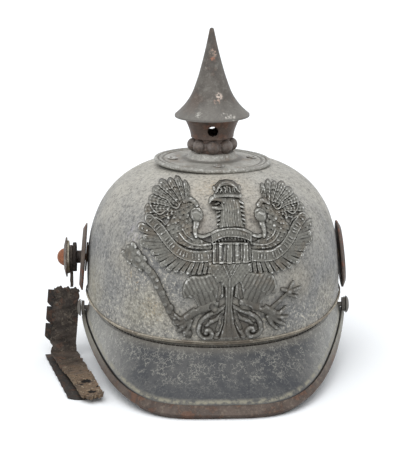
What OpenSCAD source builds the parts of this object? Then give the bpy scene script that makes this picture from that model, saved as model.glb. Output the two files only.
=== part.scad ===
// Spiked leather parade helmet, built as its separate pieces.
// Millimetres. Front faces -Y, up is +Z, and the table plane is z = 0 under the spike.

/* [Skull] */
// Half of the skull's outer width
skull_half_width = 95.5; // [93:0.5:98]
// Half of the skull's outer length
skull_half_length = 118; // [114:0.5:122]
// Height where the upright wall starts to round over
shoulder_z = 58.5; // [56:0.5:61]
// Rise from the shoulder to the crown
crown_rise = 93; // [90:0.5:96]
// Thickness of the skull leather
skull_leather = 3; // [2:0.1:3.4]
// How square the shoulder is in plan shrinkage
shoulder_power = 0.64; // [0.6:0.01:0.68]
// How fast the dome climbs
climb_power = 0.73; // [0.7:0.01:0.76]
// Height of the skull edge and its seam at the front and the back
seam_z = 45; // [43:0.5:47]
// How much higher the seam lies at the sides
seam_side_rise = 8; // [5:0.5:9]
// Thickness of the piping bead
piping_d = 1.8; // [1.2:0.1:2.4]
// Diameter of the air hole in the crown
crown_hole_d = 26; // [22:0.5:27]

/* [Visors] */
// Thickness of the visor leather
visor_leather = 2.8; // [2:0.1:3.2]
// Half width of the visors at their rear and front corners
visor_half_width = 99.2; // [98.5:0.1:100]
// How far the front visor reaches in front of the axis
front_reach = 155.5; // [152:0.5:158]
// How far the neck guard reaches behind the axis
rear_reach = 164; // [160:0.5:168]
// Height of the visor edges at the corners
corner_z = 34; // [32:0.5:36]
// How square the front visor is in plan
front_square = 3.7; // [3.4:0.1:4.4]
// How square the neck guard is in plan
rear_square = 2.6; // [2.3:0.1:3]
// How far the visor leather is tucked up inside the skull
visor_tuck = 6; // [4:0.5:7]
// Height of the front visor's upper edge above the table
front_lift = 3.2; // [3:0.1:3.6]
// Height of the neck guard's upper edge above the table
rear_lift = 2.2; // [1.8:0.1:2.6]

/* [Visor trim] */
// Height of the trim on the upper face
trim_height = 8; // [6:0.5:10]
// Depth of the trim on the lower face
trim_return = 4; // [3:0.5:5]
// Thickness of the trim metal
trim_t = 0.7; // [0.5:0.1:0.9]
// Diameter of the trim stud's domed head
stud_head_d = 13; // [11:0.5:14]
// Height of the trim stud's head
stud_head_h = 3.2; // [2.4:0.1:3.4]
// Diameter of the trim stud's shank
stud_shank_d = 3.6; // [3:0.1:4.2]
// Height of the trim studs
stud_z = 40.5; // [39.5:0.5:41.5]

/* [Spike base plate] */
// Diameter of the round base plate
plate_d = 88; // [84:0.5:90]
// Height of the rolled rim
plate_rim_h = 3; // [2.4:0.1:3.2]
// Thickness of the plate's metal
plate_t = 1.4; // [1:0.1:1.8]
// Diameter of the raised boss under the neck
plate_boss_d = 36; // [34:0.5:38]
// Height of that boss
plate_boss_h = 5.6; // [5:0.1:6]
// Radius of the rivet circle
rivet_circle_r = 30; // [28:0.5:32]
// Number of tubular rivets
rivet_count = 4; // [3:1:6]
// How far the rivet circle is turned
rivet_turn = 8; // [0:1:20]
// Outer diameter of a rivet tube
rivet_d = 4; // [3.4:0.1:4.4]
// Bore of a rivet tube
rivet_bore_d = 2.6; // [2:0.1:2.8]
// Diameter of a rivet flange
rivet_flange_d = 7; // [6:0.1:8]
// Diameter of the washer under a rivet inside the skull
rivet_washer_d = 10; // [9:0.5:12]

/* [Neck] */
// Outer diameter of the neck's stem, inside the pearl ring
stem_d = 27; // [26:0.5:27.5]
// Wall of the neck
neck_wall = 1.4; // [1.2:0.1:1.6]
// Diameter at the waist above the pearls
neck_waist_d = 32; // [31.6:0.2:33]
// Diameter at the top of the neck
neck_top_d = 41.5; // [41:0.5:43]
// Height of the neck from the boss to its top
neck_h = 25.8; // [24:0.2:27]
// Height of the waist above the boss
neck_waist_h = 11.2; // [11:0.1:12]
// Height of the vent holes above the boss
neck_vent_h = 17.8; // [17.2:0.1:18.2]
// Diameter of the vent holes
neck_vent_d = 8; // [7:0.1:8.4]
// Number of pearls
pearl_count = 8; // [6:1:8]
// Diameter of a pearl
pearl_d = 10; // [9.4:0.1:10.3]
// Radius of the circle of pearl centres
pearl_circle_r = 13.9; // [13.6:0.1:14.4]

/* [Spike] */
// Diameter of the spike's flange
spike_flange_d = 56; // [54:0.5:60]
// Diameter of the spigot that enters the neck
spigot_d = 28; // [24:0.5:30]
// Radius of the spike's long cone at its root
spike_cone_r = 19.8; // [18.6:0.1:20.6]
// Length of the spigot
spigot_l = 3.4; // [3:0.1:3.6]
// Radial clearance of the spigot
spigot_gap = 0.06; // [0.03:0.01:0.09]
// Thickness of the spike's metal
spike_wall = 1.2; // [1:0.1:1.6]
// Thickness of the washer under the flange
spike_washer_t = 0.7; // [0.4:0.1:1]
// Height of the spike above the washer
spike_h = 66.2; // [64:0.2:70]

/* [Spine] */
// Width of the rear spine
spine_w = 13; // [11:0.5:15]
// Thickness of the spine
spine_t = 1.2; // [0.9:0.1:1.5]
// Width of the vent slider
slider_w = 9; // [8:0.1:9.6]
// Length of the vent slider
slider_l = 14; // [12:0.5:14.5]
// Thickness of the vent slider
slider_t = 1; // [0.8:0.1:1.2]
// Diameter of the air hole behind the slider
spine_vent_d = 5.6; // [5:0.1:6.2]
// Length of the slider's channel
channel_l = 38; // [36:0.5:40]
// Diameter of the spine rivets' heads
spine_rivet_d = 5; // [4:0.1:6]

/* [Front plate] */
// Thickness of the stamped sheet
eagle_t = 1.2; // [1:0.1:1.5]
// Extra height of the raised parts
eagle_relief = 1.8; // [1.2:0.1:2.4]
// Sideways place of the plate, which sits a little off centre
eagle_x = 5; // [3:0.5:7]
// Height of the plate from its foot to the top of its crown
eagle_h = 102.5; // [100:0.5:104]
// Gap between the plate and the leather
eagle_gap = 0.4; // [0.3:0.1:0.8]
// Thickness of the plate's fixing loops
loop_t = 1.2; // [1:0.1:1.5]
// Height of the fixing loops
loop_h = 9; // [8:0.5:10]
// Distance from the middle to each loop
loop_x = 36; // [34:0.5:38]
// Height of the loops
loop_z = 101; // [98:0.5:103]

/* [Cockades and rosette] */
// Diameter of a cockade
cockade_d = 51; // [48:0.5:53]
// Thickness of a cockade's metal
cockade_t = 1; // [0.8:0.1:1.2]
// Height of a cockade's raised ring
cockade_h = 3; // [2.4:0.1:3.4]
// Height of the side bushes
bush_z = 78; // [76:0.5:80]
// Bore of the side bushes
bush_bore_d = 5.2; // [5:0.1:5.6]
// Outer diameter of the side bushes
bush_d = 8; // [7.4:0.1:8.6]
// Diameter of the bush flanges
bush_flange_d = 16; // [14:0.5:18]
// Thickness of the leather packing under the cockade that carries the rosette
packing_t = 1.2; // [1:0.1:1.8]
// Length of the rosette post
post_l = 4.8; // [4.2:0.1:5.4]
// Outer diameter of the rosette post
post_d = 9.6; // [8.6:0.1:10.4]
// Diameter of the rosette disc
rosette_d = 30; // [28:0.5:32]
// Thickness of the rosette disc
rosette_t = 2.4; // [2:0.1:2.8]
// Diameter of the rosette screw's ball head
ball_d = 13.5; // [12:0.1:14.5]
// Clearance of the rosette screw in its bores, on the radius
screw_gap = 0.08; // [0.04:0.01:0.1]
// Thickness of the leather washer behind the strap eye
inner_washer_t = 2.8; // [2.2:0.1:3.2]
// Thickness of the paper washer in front of the strap eye
outer_washer_t = 1.6; // [1.2:0.1:2]

/* [Chin strap] */
// Width of the strap leather
strap_w = 20; // [18:0.5:21]
// Thickness of the strap leather
strap_t = 2.4; // [2:0.1:2.6]
// Height of the torn upper end of the strap
strap_top_z = 55; // [53:0.5:57]
// Lean of the hanging part away from the helmet
strap_lean = 5.5; // [5:0.5:6.5]
// How far the strap's middle hangs outside its tongue
strap_offset = 5.9; // [5.4:0.1:6.2]
// Length of the part that lies on the table
strap_lying_l = 124; // [110:1:130]
// Turn of the lying part towards the front
strap_turn = 11.5; // [9:0.5:12]
// Distance between two chin scales
scale_pitch = 13.4; // [12.8:0.1:14]
// Width of a chin scale
scale_w = 22; // [21:0.5:23]
// Thickness of a chin scale
scale_t = 0.8; // [0.6:0.1:0.9]
// Diameter of the strap's eye
eye_d = 18; // [16:0.5:20]
// Width of the tongue below the eye
tongue_w = 7; // [6:0.5:8]

/* [Liner] */
// Height of the liner band
band_h = 34; // [30:1:38]
// Thickness of the liner leather
liner_t = 1.4; // [1:0.1:1.6]
// Number of liner tongues
tongue_count = 8; // [6:1:9]
// Radius of the drawn circle at the top of the tongues
liner_ring_r = 34; // [30:1:38]
// Height of the drawstring
liner_ring_z = 127.5; // [124:0.5:129]
// Diameter of the drawstring
string_d = 2.4; // [2:0.1:3]

/* [Hidden] */
$fn = 64;
// Smallest gap between pieces that touch on the real helmet
seat = 0.1;
// Gap of a soft or draped piece from its neighbour
drape = 0.3;
// Overshoot of a cutting shape
cut = 1;

// Surfaces

// Share of the plan left at climb angle t
function shrink(t) = pow(cos(t), shoulder_power);
// Share of the rise reached at climb angle t
function climb(t) = pow(sin(t), climb_power);
// Point of the dome at azimuth p from the front and climb angle t, moved out by off
function dome_point(p, t, off) = [
    (skull_half_width + off) * shrink(t) * sin(p),
    -(skull_half_length + off) * shrink(t) * cos(p),
    shoulder_z + (crown_rise + off) * climb(t)
];
// Climb angle at height z on the dome moved out by off
function climb_angle(z, off) = asin(pow(max(z - shoulder_z, 0) / (crown_rise + off), 1 / climb_power));
// Share of the plan at height z
function share_at(z, off) = shrink(climb_angle(z, off));
// Half width of the dome at height z over the axis
function side_x(z, off) = (skull_half_width + off) * share_at(z, off);
// Distance of the dome surface from the axis plane, at sideways place x and height z
function face_y(x, z, off) = (skull_half_length + off) * share_at(z, off)
    * sqrt(1 - pow(x / side_x(z, off), 2));
// Height of the dome at distance r in front of the axis
function crown_z_at(r, off) = shoulder_z
    + (crown_rise + off) * climb(acos(pow(r / (skull_half_length + off), 1 / shoulder_power)));
// Height of the dome at distance r beside the axis
function crown_z_beside(r, off) = shoulder_z
    + (crown_rise + off) * climb(acos(pow(r / (skull_half_width + off), 1 / shoulder_power)));
// Height of the skull edge at azimuth p
function edge_z(p) = seam_z + seam_side_rise * pow(abs(sin(p)), 6);

crown_z = shoulder_z + crown_rise;
inner_off = -skull_leather;

// Solid from a list of rings with as many points each
module skin(rings, loop = false) {
    n = len(rings[0]);
    m = len(rings);
    last = loop ? m - 1 : m - 2;
    sides = [
        for (i = [0:last], j = [0:n - 1])
            let (
                a = i * n + j,
                b = i * n + (j + 1) % n,
                c = ((i + 1) % m) * n + (j + 1) % n,
                d = ((i + 1) % m) * n + j
            )
            each [[a, b, c], [a, c, d]]
    ];
    caps = loop ? [] : [[for (j = [n - 1:-1:0]) j], [for (j = [0:n - 1]) (m - 1) * n + j]];
    polyhedron([for (r = rings) each r], concat(sides, caps), convexity = 8);
}

// Cylinder along X from x0 to x1 at the height of the side bushes
module side_cylinder(x0, x1, d) {
    translate([min(x0, x1), 0, bush_z]) rotate([0, 90, 0]) cylinder(h = abs(x1 - x0), d = d);
}

// Skull

skull_steps = 14;
skull_slices = 48;
climb_stop = 89;
function climb_step(i) = climb_stop * (1 - pow(1 - i / skull_steps, 1.8));
function skull_section(p) = concat(
    [[(skull_half_width) * sin(p), -(skull_half_length) * cos(p), edge_z(p)]],
    [for (i = [0:skull_steps]) dome_point(p, climb_step(i), 0)],
    [for (i = [skull_steps:-1:0]) dome_point(p, climb_step(i), inner_off)],
    [[
        (skull_half_width + inner_off) * sin(p),
        -(skull_half_length + inner_off) * cos(p),
        edge_z(p)
    ]]
);

module skull_shell() color("dimgray") difference() {
    skin([for (i = [0:skull_slices - 1]) skull_section(-i * 360 / skull_slices)], loop = true);
    translate([0, 0, crown_z - skull_leather * 3]) cylinder(h = skull_leather * 5, d = crown_hole_d);
    rivet_places() translate([0, 0, -skull_leather * 2])
        cylinder(h = skull_leather * 4, d = rivet_d + 2 * seat);
    side_cylinder(-skull_half_width - cut, skull_half_width + cut, bush_d + 2 * seat);
    for (side = [-1, 1]) at_loop(side)
        cube([loop_t + 2 * drape, skull_leather * 4, loop_h + 2 * drape], center = true);
    vent_bore();
    spine_rivet_places() cylinder(h = skull_leather * 4, d = spine_shank_d + 2 * seat, center = true);
}

module seam_piping() color("saddlebrown") skin([
    for (i = [0:63])
        let (p = -i * 360 / 64, out = piping_d / 2 + seat)
        [
            for (k = [0:5])
                let (q = k * 60)
                [
                    (skull_half_width + out + piping_d / 2 * cos(q)) * sin(p),
                    -(skull_half_length + out + piping_d / 2 * cos(q)) * cos(p),
                    edge_z(p) + piping_d / 2 * sin(q)
                ]
        ]
], loop = true);

// Visors

visor_root_off = inner_off - drape - seat;
visor_rows = 8;
visor_columns = 40;
// Azimuth where the front visor and the neck guard meet, and its distance behind the axis
visor_split = 88;
split_y = -skull_half_length * cos(visor_split);
function squareness(front) = front ? front_square : rear_square;
// Azimuth along a visor, u from -1 to 1
function visor_azimuth(u, front) = front ? u * visor_split : 180 - u * (180 - visor_split - 0.6);
// Point of a visor's edge
function visor_edge(u, front) =
    let (
        x = visor_half_width * sin(90 * u),
        run = 1 - pow(abs(sin(90 * u)), squareness(front)),
        lift = front ? front_lift : rear_lift,
        y = front ? split_y - (front_reach + split_y) * run : split_y + (rear_reach - split_y) * run
    )
    [x, y, lift + (corner_z - lift) * (1 - pow(run, 0.55))];
// Point of a visor's outer face without its thickness, w from 0 at the root to 1 at the edge
function visor_base(u, w, front) =
    let (
        p = visor_azimuth(u, front),
        root = [
            (skull_half_width + visor_root_off) * sin(p),
            -(skull_half_length + visor_root_off) * cos(p),
            edge_z(p) - 1.5
        ],
        bend = root + 0.3 * (visor_edge(u, front) - root) - [0, 0, 5],
        v = (w - 1 / visor_rows) / (1 - 1 / visor_rows)
    )
    w < 1 / visor_rows
        ? root + [0, 0, (visor_tuck + 1.5) * (1 - w * visor_rows)]
        : pow(1 - v, 2) * root + 2 * v * (1 - v) * bend + v * v * visor_edge(u, front);
function unit(a) = a / norm(a);
// Direction along a visor from root to edge
function visor_down(u, w, front) =
    let (lo = max(w - 0.03, 0), hi = min(w + 0.03, 1))
    unit(visor_base(u, hi, front) - visor_base(u, lo, front));
// Outward normal of a visor
function visor_normal(u, w, front) =
    let (
        lo = max(u - 0.02, -1),
        hi = min(u + 0.02, 1),
        across = unit(visor_base(hi, w, front) - visor_base(lo, w, front))
    )
    unit(front ? cross(across, visor_down(u, w, front)) * -1 : cross(across, visor_down(u, w, front)));
function visor_point(u, w, front, off) = visor_base(u, w, front) + off * visor_normal(u, w, front);
function visor_section(u, front) = concat(
    [for (k = [0:visor_rows]) visor_point(u, k / visor_rows, front, 0)],
    [for (k = [visor_rows:-1:0]) visor_point(u, k / visor_rows, front, -visor_leather)]
);
function visor_rings(front) = [
    for (i = [0:visor_columns]) visor_section((front ? 1 : -1) * (1 - 2 * i / visor_columns), front)
];

module stud_bores() {
    translate([0, stud_y, stud_z]) rotate([0, 90, 0])
        cylinder(h = 3 * visor_half_width, d = stud_shank_d + 2 * seat, center = true);
}

// Everything behind the split, or in front of it, with a gap left between the two
module behind_split() {
    translate([-visor_half_width * 2, split_y - seat, -cut])
        cube([visor_half_width * 4, skull_half_length, crown_z]);
}
module before_split() {
    translate([-visor_half_width * 2, split_y + seat - skull_half_length, -cut])
        cube([visor_half_width * 4, skull_half_length, crown_z]);
}

module front_visor() color("gray") difference() {
    skin(visor_rings(true));
    stud_bores();
    behind_split();
}

module rear_visor() color("gray") difference() {
    skin(visor_rings(false));
    before_split();
    translate([0, rear_reach, -10]) cube([visor_half_width * 2, 80, 20], center = true);
}

// U section of the trim at u, which wraps the visor's edge
trim_gap = 0.3;
function trim_face(u, depth, off, steps) =
    let (length = norm(visor_edge(u, true) - visor_base(u, 1 / visor_rows, true)))
    [for (k = [0:steps]) visor_point(u, 1 - (1 - k / steps) * depth / length, true, off)];
function trim_end(u, past, off) =
    visor_edge(u, true) + past * visor_down(u, 1, true) + off * visor_normal(u, 1, true);
function backwards(list) = [for (i = [len(list) - 1:-1:0]) list[i]];
function trim_section(u) = concat(
    trim_face(u, trim_height, trim_gap + trim_t, 3),
    [trim_end(u, trim_gap + trim_t, trim_gap + trim_t)],
    [trim_end(u, trim_gap + trim_t, -visor_leather - trim_gap - trim_t)],
    backwards(trim_face(u, trim_return, -visor_leather - trim_gap - trim_t, 1)),
    trim_face(u, trim_return, -visor_leather - trim_gap, 1),
    [trim_end(u, trim_gap, -visor_leather - trim_gap)],
    [trim_end(u, trim_gap, trim_gap)],
    backwards(trim_face(u, trim_height, trim_gap, 3))
);

// The trim ends in round ears that the studs pin to the visor's corners
stud_y = split_y - stud_head_d / 3;
ear_x = max(visor_half_width, skull_half_width + visor_root_off) + seat;
stud_x = ear_x + trim_t + seat;
ear_d = stud_head_d - 1;
// Where the band passes under the ear, and how far above the visor's edge the two are joined
ear_u = 0.94;
ear_joint = 6;
// Web between the band's outer face and the ear
module ear_web(side) {
    length = norm(visor_edge(ear_u, true) - visor_base(ear_u, 1 / visor_rows, true));
    hull() {
        for (u = [ear_u, ear_u - 0.01], w = [1, 1.5], off = [0.3, 0.9])
            translate(visor_point(side * u, 1 - ear_joint / w / length, true, trim_gap + off * trim_t))
                cube(0.02, center = true);
        translate([side * (ear_x + trim_t / 2), stud_y, stud_z - ear_d / 3])
            cube([trim_t, ear_d / 3, ear_d / 6], center = true);
    }
}
module front_visor_trim() color("rosybrown") difference() {
    union() {
        skin([for (i = [1:visor_columns - 1]) trim_section(1 - 2 * i / visor_columns)]);
        for (side = [-1, 1]) {
            ear_web(side);
            translate([side * (ear_x + trim_t / 2), stud_y, stud_z]) rotate([0, 90, 0])
                cylinder(h = trim_t, d = ear_d, center = true);
        }
    }
    stud_bores();
    translate([0, 0, -10]) cube([visor_half_width * 3, front_reach * 3, 20], center = true);
}

stud_rim = 0.6;
module trim_studs() color("dimgray") for (side = [-1, 1])
    translate([side * stud_x, stud_y, stud_z]) rotate([0, side * 90, 0]) {
        rotate_extrude() polygon(concat(
            [[0, 0]],
            [
                for (a = [0:15:90])
                    [stud_head_d / 2 * cos(a), stud_rim + (stud_head_h - stud_rim) * sin(a)]
            ],
            [[0, 0]]
        ));
        translate([0, 0, -visor_leather * 3]) cylinder(h = visor_leather * 3, d = stud_shank_d);
    }

// Base plate

plate_seat_z = crown_z + drape;
rim_bottom_z = crown_z_at(plate_d / 2, 0) + drape;
rim_top_z = rim_bottom_z + plate_rim_h;
web_top_z = plate_seat_z + plate_t;
boss_top_z = web_top_z + plate_boss_h;
neck_bore_d = stem_d - 2 * neck_wall;

module rivet_places() {
    for (i = [0:rivet_count - 1]) rotate([0, 0, rivet_turn + i * 360 / rivet_count])
        translate([0, -rivet_circle_r, crown_z_at(rivet_circle_r, 0)]) children();
}

module spike_base_plate() color("gray") difference() {
    rotate_extrude($fn = 96) polygon([
        [neck_bore_d / 2, plate_seat_z],
        [rivet_circle_r + rivet_flange_d, plate_seat_z],
        [plate_d / 2 - 3.4, rim_bottom_z + 0.4],
        [plate_d / 2 - 2.4, rim_bottom_z],
        [plate_d / 2 - 0.8, rim_bottom_z],
        [plate_d / 2, rim_bottom_z + 0.8],
        [plate_d / 2, rim_top_z - 0.8],
        [plate_d / 2 - 0.8, rim_top_z],
        [plate_d / 2 - 2.4, rim_top_z],
        [plate_d / 2 - 3.4, rim_top_z - 0.5],
        [rivet_circle_r + rivet_flange_d / 2, web_top_z - 0.2],
        [plate_boss_d / 2 + 3, web_top_z],
        [plate_boss_d / 2, web_top_z + plate_boss_h * 0.45],
        [plate_boss_d / 2 - 1.5, boss_top_z],
        [neck_bore_d / 2, boss_top_z]
    ]);
    rivet_places() translate([0, 0, -plate_boss_h]) cylinder(h = plate_boss_h * 4, d = rivet_d + 2 * seat);
}

rivet_top_h = web_top_z + seat - crown_z_at(rivet_circle_r, 0);
rivet_bottom_h = crown_z_beside(rivet_circle_r + rivet_washer_d / 2, inner_off)
    - crown_z_at(rivet_circle_r, 0) - seat;
rivet_washer_t = 0.8;
module base_plate_rivets() color("silver") rivet_places() difference() {
    union() {
        translate([0, 0, rivet_bottom_h - rivet_washer_t - seat - 0.7])
            cylinder(h = rivet_top_h - rivet_bottom_h + rivet_washer_t + seat + 1.3, d = rivet_d);
        translate([0, 0, rivet_top_h]) cylinder(h = 0.6, d = rivet_flange_d);
        translate([0, 0, rivet_bottom_h - rivet_washer_t - seat - 0.7])
            cylinder(h = 0.7, d = rivet_flange_d);
    }
    translate([0, 0, -skull_leather * 4]) cylinder(h = skull_leather * 8, d = rivet_bore_d);
}

module rivet_washers() color("silver") rivet_places()
    translate([0, 0, rivet_bottom_h - rivet_washer_t]) difference() {
        cylinder(h = rivet_washer_t, d = rivet_washer_d);
        translate([0, 0, -cut]) cylinder(h = rivet_washer_t + 2 * cut, d = rivet_d + 2 * seat);
    }

// Neck, pearls and spike

neck_top_z = boss_top_z + neck_h;
waist_z = boss_top_z + neck_waist_h;
socket_depth = spigot_l + seat;
socket_d = spigot_d + 2 * spigot_gap;

// Outer diameter of the trumpet at height h above the waist
function trumpet_d(s) = neck_waist_d + (neck_top_d - neck_waist_d) * pow(s, 1.6);

module spike_neck() color("dimgray") difference() {
    rotate_extrude($fn = 96) polygon(concat(
        [
            [neck_bore_d / 2, boss_top_z],
            [stem_d / 2, boss_top_z],
            [stem_d / 2, waist_z - 0.6],
            [neck_waist_d / 2 - 0.6, waist_z - 0.6]
        ],
        [for (s = [0:0.125:1]) [trumpet_d(s) / 2, waist_z + s * (neck_top_z - 0.8 - waist_z)]],
        [
            [neck_top_d / 2, neck_top_z],
            [socket_d / 2, neck_top_z],
            [socket_d / 2, neck_top_z - socket_depth],
            [neck_top_d / 2 - 4.5, neck_top_z - socket_depth - 0.8],
            [neck_waist_d / 2 - neck_wall, waist_z + 1.6],
            [neck_bore_d / 2, waist_z - 0.8]
        ]
    ));
    translate([0, 0, boss_top_z + neck_vent_h]) rotate([90, 0, 0])
        cylinder(h = neck_top_d + 2 * cut, d = neck_vent_d, center = true);
}

module pearl_ring() color("dimgray") difference() {
    union() {
        for (i = [0:pearl_count - 1]) rotate([0, 0, i * 360 / pearl_count])
            translate([0, -pearl_circle_r, boss_top_z + seat + pearl_d / 2]) sphere(d = pearl_d, $fn = 32);
        translate([0, 0, boss_top_z + seat + pearl_d * 0.25])
            cylinder(h = pearl_d * 0.5, r = pearl_circle_r + 0.6);
    }
    translate([0, 0, boss_top_z - cut]) cylinder(h = pearl_d + 3 * cut, d = stem_d + 2 * seat);
}

flange_z = neck_top_z + seat + spike_washer_t + seat;
flange_t = 1.4;
spike_tip_r = 1.8;
sweep_share = 0.38;
// Outer radius of the spike at share s of its height, a cone that sweeps out into the flange
function spike_r(s) = spike_tip_r
    + (spike_cone_r - spike_tip_r) * pow(1 - s, 1.25)
    + (spike_flange_d / 2 - spike_cone_r) * pow(max(1 - s / sweep_share, 0), 2.6);

module spike_washer() color("tan") translate([0, 0, neck_top_z + seat]) difference() {
    cylinder(h = spike_washer_t, d = neck_top_d + 1);
    translate([0, 0, -cut]) cylinder(h = spike_washer_t + 2 * cut, d = spigot_d + 4 * spigot_gap);
}

module spike() color("dimgray") rotate_extrude($fn = 96) polygon(concat(
    [
        [spigot_d / 2 - spike_wall, neck_top_z - spigot_l],
        [spigot_d / 2, neck_top_z - spigot_l],
        [spigot_d / 2, flange_z],
        [spike_flange_d / 2, flange_z],
        [spike_flange_d / 2, flange_z + flange_t]
    ],
    [for (s = [0.03:0.03:0.36]) [spike_r(s), flange_z + flange_t + s * (spike_h - flange_t)]],
    [for (s = [0.45:0.09:0.9]) [spike_r(s), flange_z + s * spike_h]],
    [for (a = [0:30:90]) [spike_tip_r * cos(a), flange_z + spike_h - spike_tip_r * (1 - sin(a))]],
    [for (s = [0.86, 0.7, 0.5, 0.3, 0.12]) [max(spike_r(s) - spike_wall * 1.4, 0), flange_z + s * spike_h]],
    [[spigot_d / 2 - spike_wall, flange_z + flange_t]]
));

// Spine at the back

spine_seat = 0.5;
function back_y(z, off) = face_y(0, z, off);
// The slider's stretch is straight, along the dome's slope at this height
stretch_mid_z = 98;
stretch_half = channel_l / 2;
stretch_lean = atan(
    (back_y(stretch_mid_z - stretch_half, 0) - back_y(stretch_mid_z + stretch_half, 0)) / channel_l
);
channel_floor = 0.6;
// Turn of the stretch's own frame, its length along Z and its outer side along Y
module at_stretch() {
    translate([0, back_y(stretch_mid_z, 0), stretch_mid_z]) rotate([stretch_lean, 0, 0]) children();
}
function stretch_point(out, along) = [
    back_y(stretch_mid_z, 0) + out * cos(stretch_lean) - along * sin(stretch_lean),
    stretch_mid_z + out * sin(stretch_lean) + along * cos(stretch_lean)
];
function visor_back(w, off) = let (q = visor_point(0, w, false, off)) [q[1], q[2]];
function dome_back(t) = let (q = dome_point(180, t, spine_seat)) [q[1], q[2]];
spine_top_t = acos(pow((plate_d / 2 + 1) / (skull_half_length + spine_seat), 1 / shoulder_power));
stretch_top_t = climb_angle(stretch_point(channel_floor, stretch_half)[1] + 1, spine_seat);
stretch_low_z = stretch_point(channel_floor, -stretch_half)[1] - 1;
// Inner face of the spine in the plane of the helmet, from the base plate down to the visor's edge
spine_path = concat(
    [for (i = [0:8]) dome_back(spine_top_t + (stretch_top_t - spine_top_t) * i / 8)],
    [stretch_point(channel_floor, stretch_half), stretch_point(channel_floor, -stretch_half)],
    [
        for (i = [0:2])
            let (z = stretch_low_z + (shoulder_z - stretch_low_z) * i / 2)
            [back_y(z, spine_seat), z]
    ],
    [
        [skull_half_length + piping_d + spine_seat, seam_z + piping_d + 2],
        [skull_half_length + piping_d + spine_seat, seam_z - 2]
    ],
    [for (w = [0.4:0.15:1]) visor_back(w, spine_seat)],
    [visor_back(1, spine_seat) + [spine_t, -spine_t] / 2]
);
function path_normal(path, i) =
    let (d = path[min(i + 1, len(path) - 1)] - path[max(i - 1, 0)])
    [-d[1], d[0]] / norm(d);
// Outline of a strip of thickness t on a path
function strip(path, t) = concat(
    path,
    [for (i = [len(path) - 1:-1:0]) path[i] + t * path_normal(path, i)]
);

channel_wall = 1;
slider_gap = 0.35;
channel_in = slider_w + 2 * slider_gap;
channel_h = slider_t + 2 * slider_gap;
lip = 1.6;
// One side wall of the channel with the lip that holds the slider
module channel_side() {
    polygon([
        [channel_in / 2, channel_floor + spine_t / 2],
        [channel_in / 2 + channel_wall, channel_floor + spine_t / 2],
        [channel_in / 2 + channel_wall, channel_floor + spine_t + channel_h + channel_wall],
        [channel_in / 2 - lip, channel_floor + spine_t + channel_h + channel_wall],
        [channel_in / 2 - lip, channel_floor + spine_t + channel_h],
        [channel_in / 2, channel_floor + spine_t + channel_h]
    ]);
}
// The air hole lies under the slider at rest and is free when the slider is down
vent_along = (channel_l - slider_l) / 2 - 1;
module vent_bore() {
    at_stretch() translate([0, 0, vent_along]) rotate([90, 0, 0])
        cylinder(h = skull_leather * 6, d = spine_vent_d, center = true);
}

spine_shank_d = 2.4;
spine_rivet_zs = [stretch_low_z - 8, shoulder_z + 2];
module spine_rivet_places() {
    for (z = spine_rivet_zs) translate([0, back_y(z, 0), z]) rotate([-90, 0, 0]) children();
}

module rear_spine() color("gray") difference() {
    union() {
        rotate([90, 0, 90]) translate([0, 0, -spine_w / 2]) linear_extrude(spine_w)
            polygon(strip(spine_path, spine_t));
        at_stretch() translate([0, 0, -stretch_half]) linear_extrude(channel_l) {
            channel_side();
            mirror([1, 0]) channel_side();
        }
    }
    vent_bore();
    spine_rivet_places() cylinder(h = skull_leather * 4, d = spine_shank_d + 2 * seat, center = true);
    translate([0, rear_reach, -10]) cube([spine_w * 2, 80, 20], center = true);
}

module vent_slider() color("darkgray") at_stretch()
    translate([0, channel_floor + spine_t + slider_gap, vent_along]) {
        translate([-slider_w / 2, 0, -slider_l / 2]) cube([slider_w, slider_t, slider_l]);
        rotate([-90, 0, 0]) cylinder(h = slider_t + 3, d = 4);
    }

module spine_rivets() color("dimgray") spine_rivet_places() {
    translate([0, 0, spine_seat + spine_t + seat]) rotate_extrude() polygon(concat(
        [[0, 0]],
        [for (a = [0:15:90]) [spine_rivet_d / 2 * cos(a), 1.4 * sin(a)]]
    ));
    translate([0, 0, -skull_leather - seat]) cylinder(h = skull_leather + 2, d = spine_shank_d);
}

// Front plate, a heraldic eagle with spread wings. Its outline is drawn in units of its own, with
// its foot and the top of its crown at these two heights, and is then set to the plate's height.

drawn_span = [46.5, 149];
eagle_scale = eagle_h / (drawn_span[1] - drawn_span[0]);
// Centre of the fan of wing feathers and of the ribbon across the wing
feather_hub = [32, 117];
ribbon_hub = [21, 139];
module band(hub, r0, r1, a0, a1, steps = 8) {
    translate(hub) polygon(concat(
        [for (i = [0:steps]) r1 * [cos(a0 + (a1 - a0) * i / steps), sin(a0 + (a1 - a0) * i / steps)]],
        [for (i = [steps:-1:0]) r0 * [cos(a0 + (a1 - a0) * i / steps), sin(a0 + (a1 - a0) * i / steps)]]
    ));
}
feather_steps = 16;
feather_from = -125;
feather_turn = 230 / feather_steps;
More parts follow.
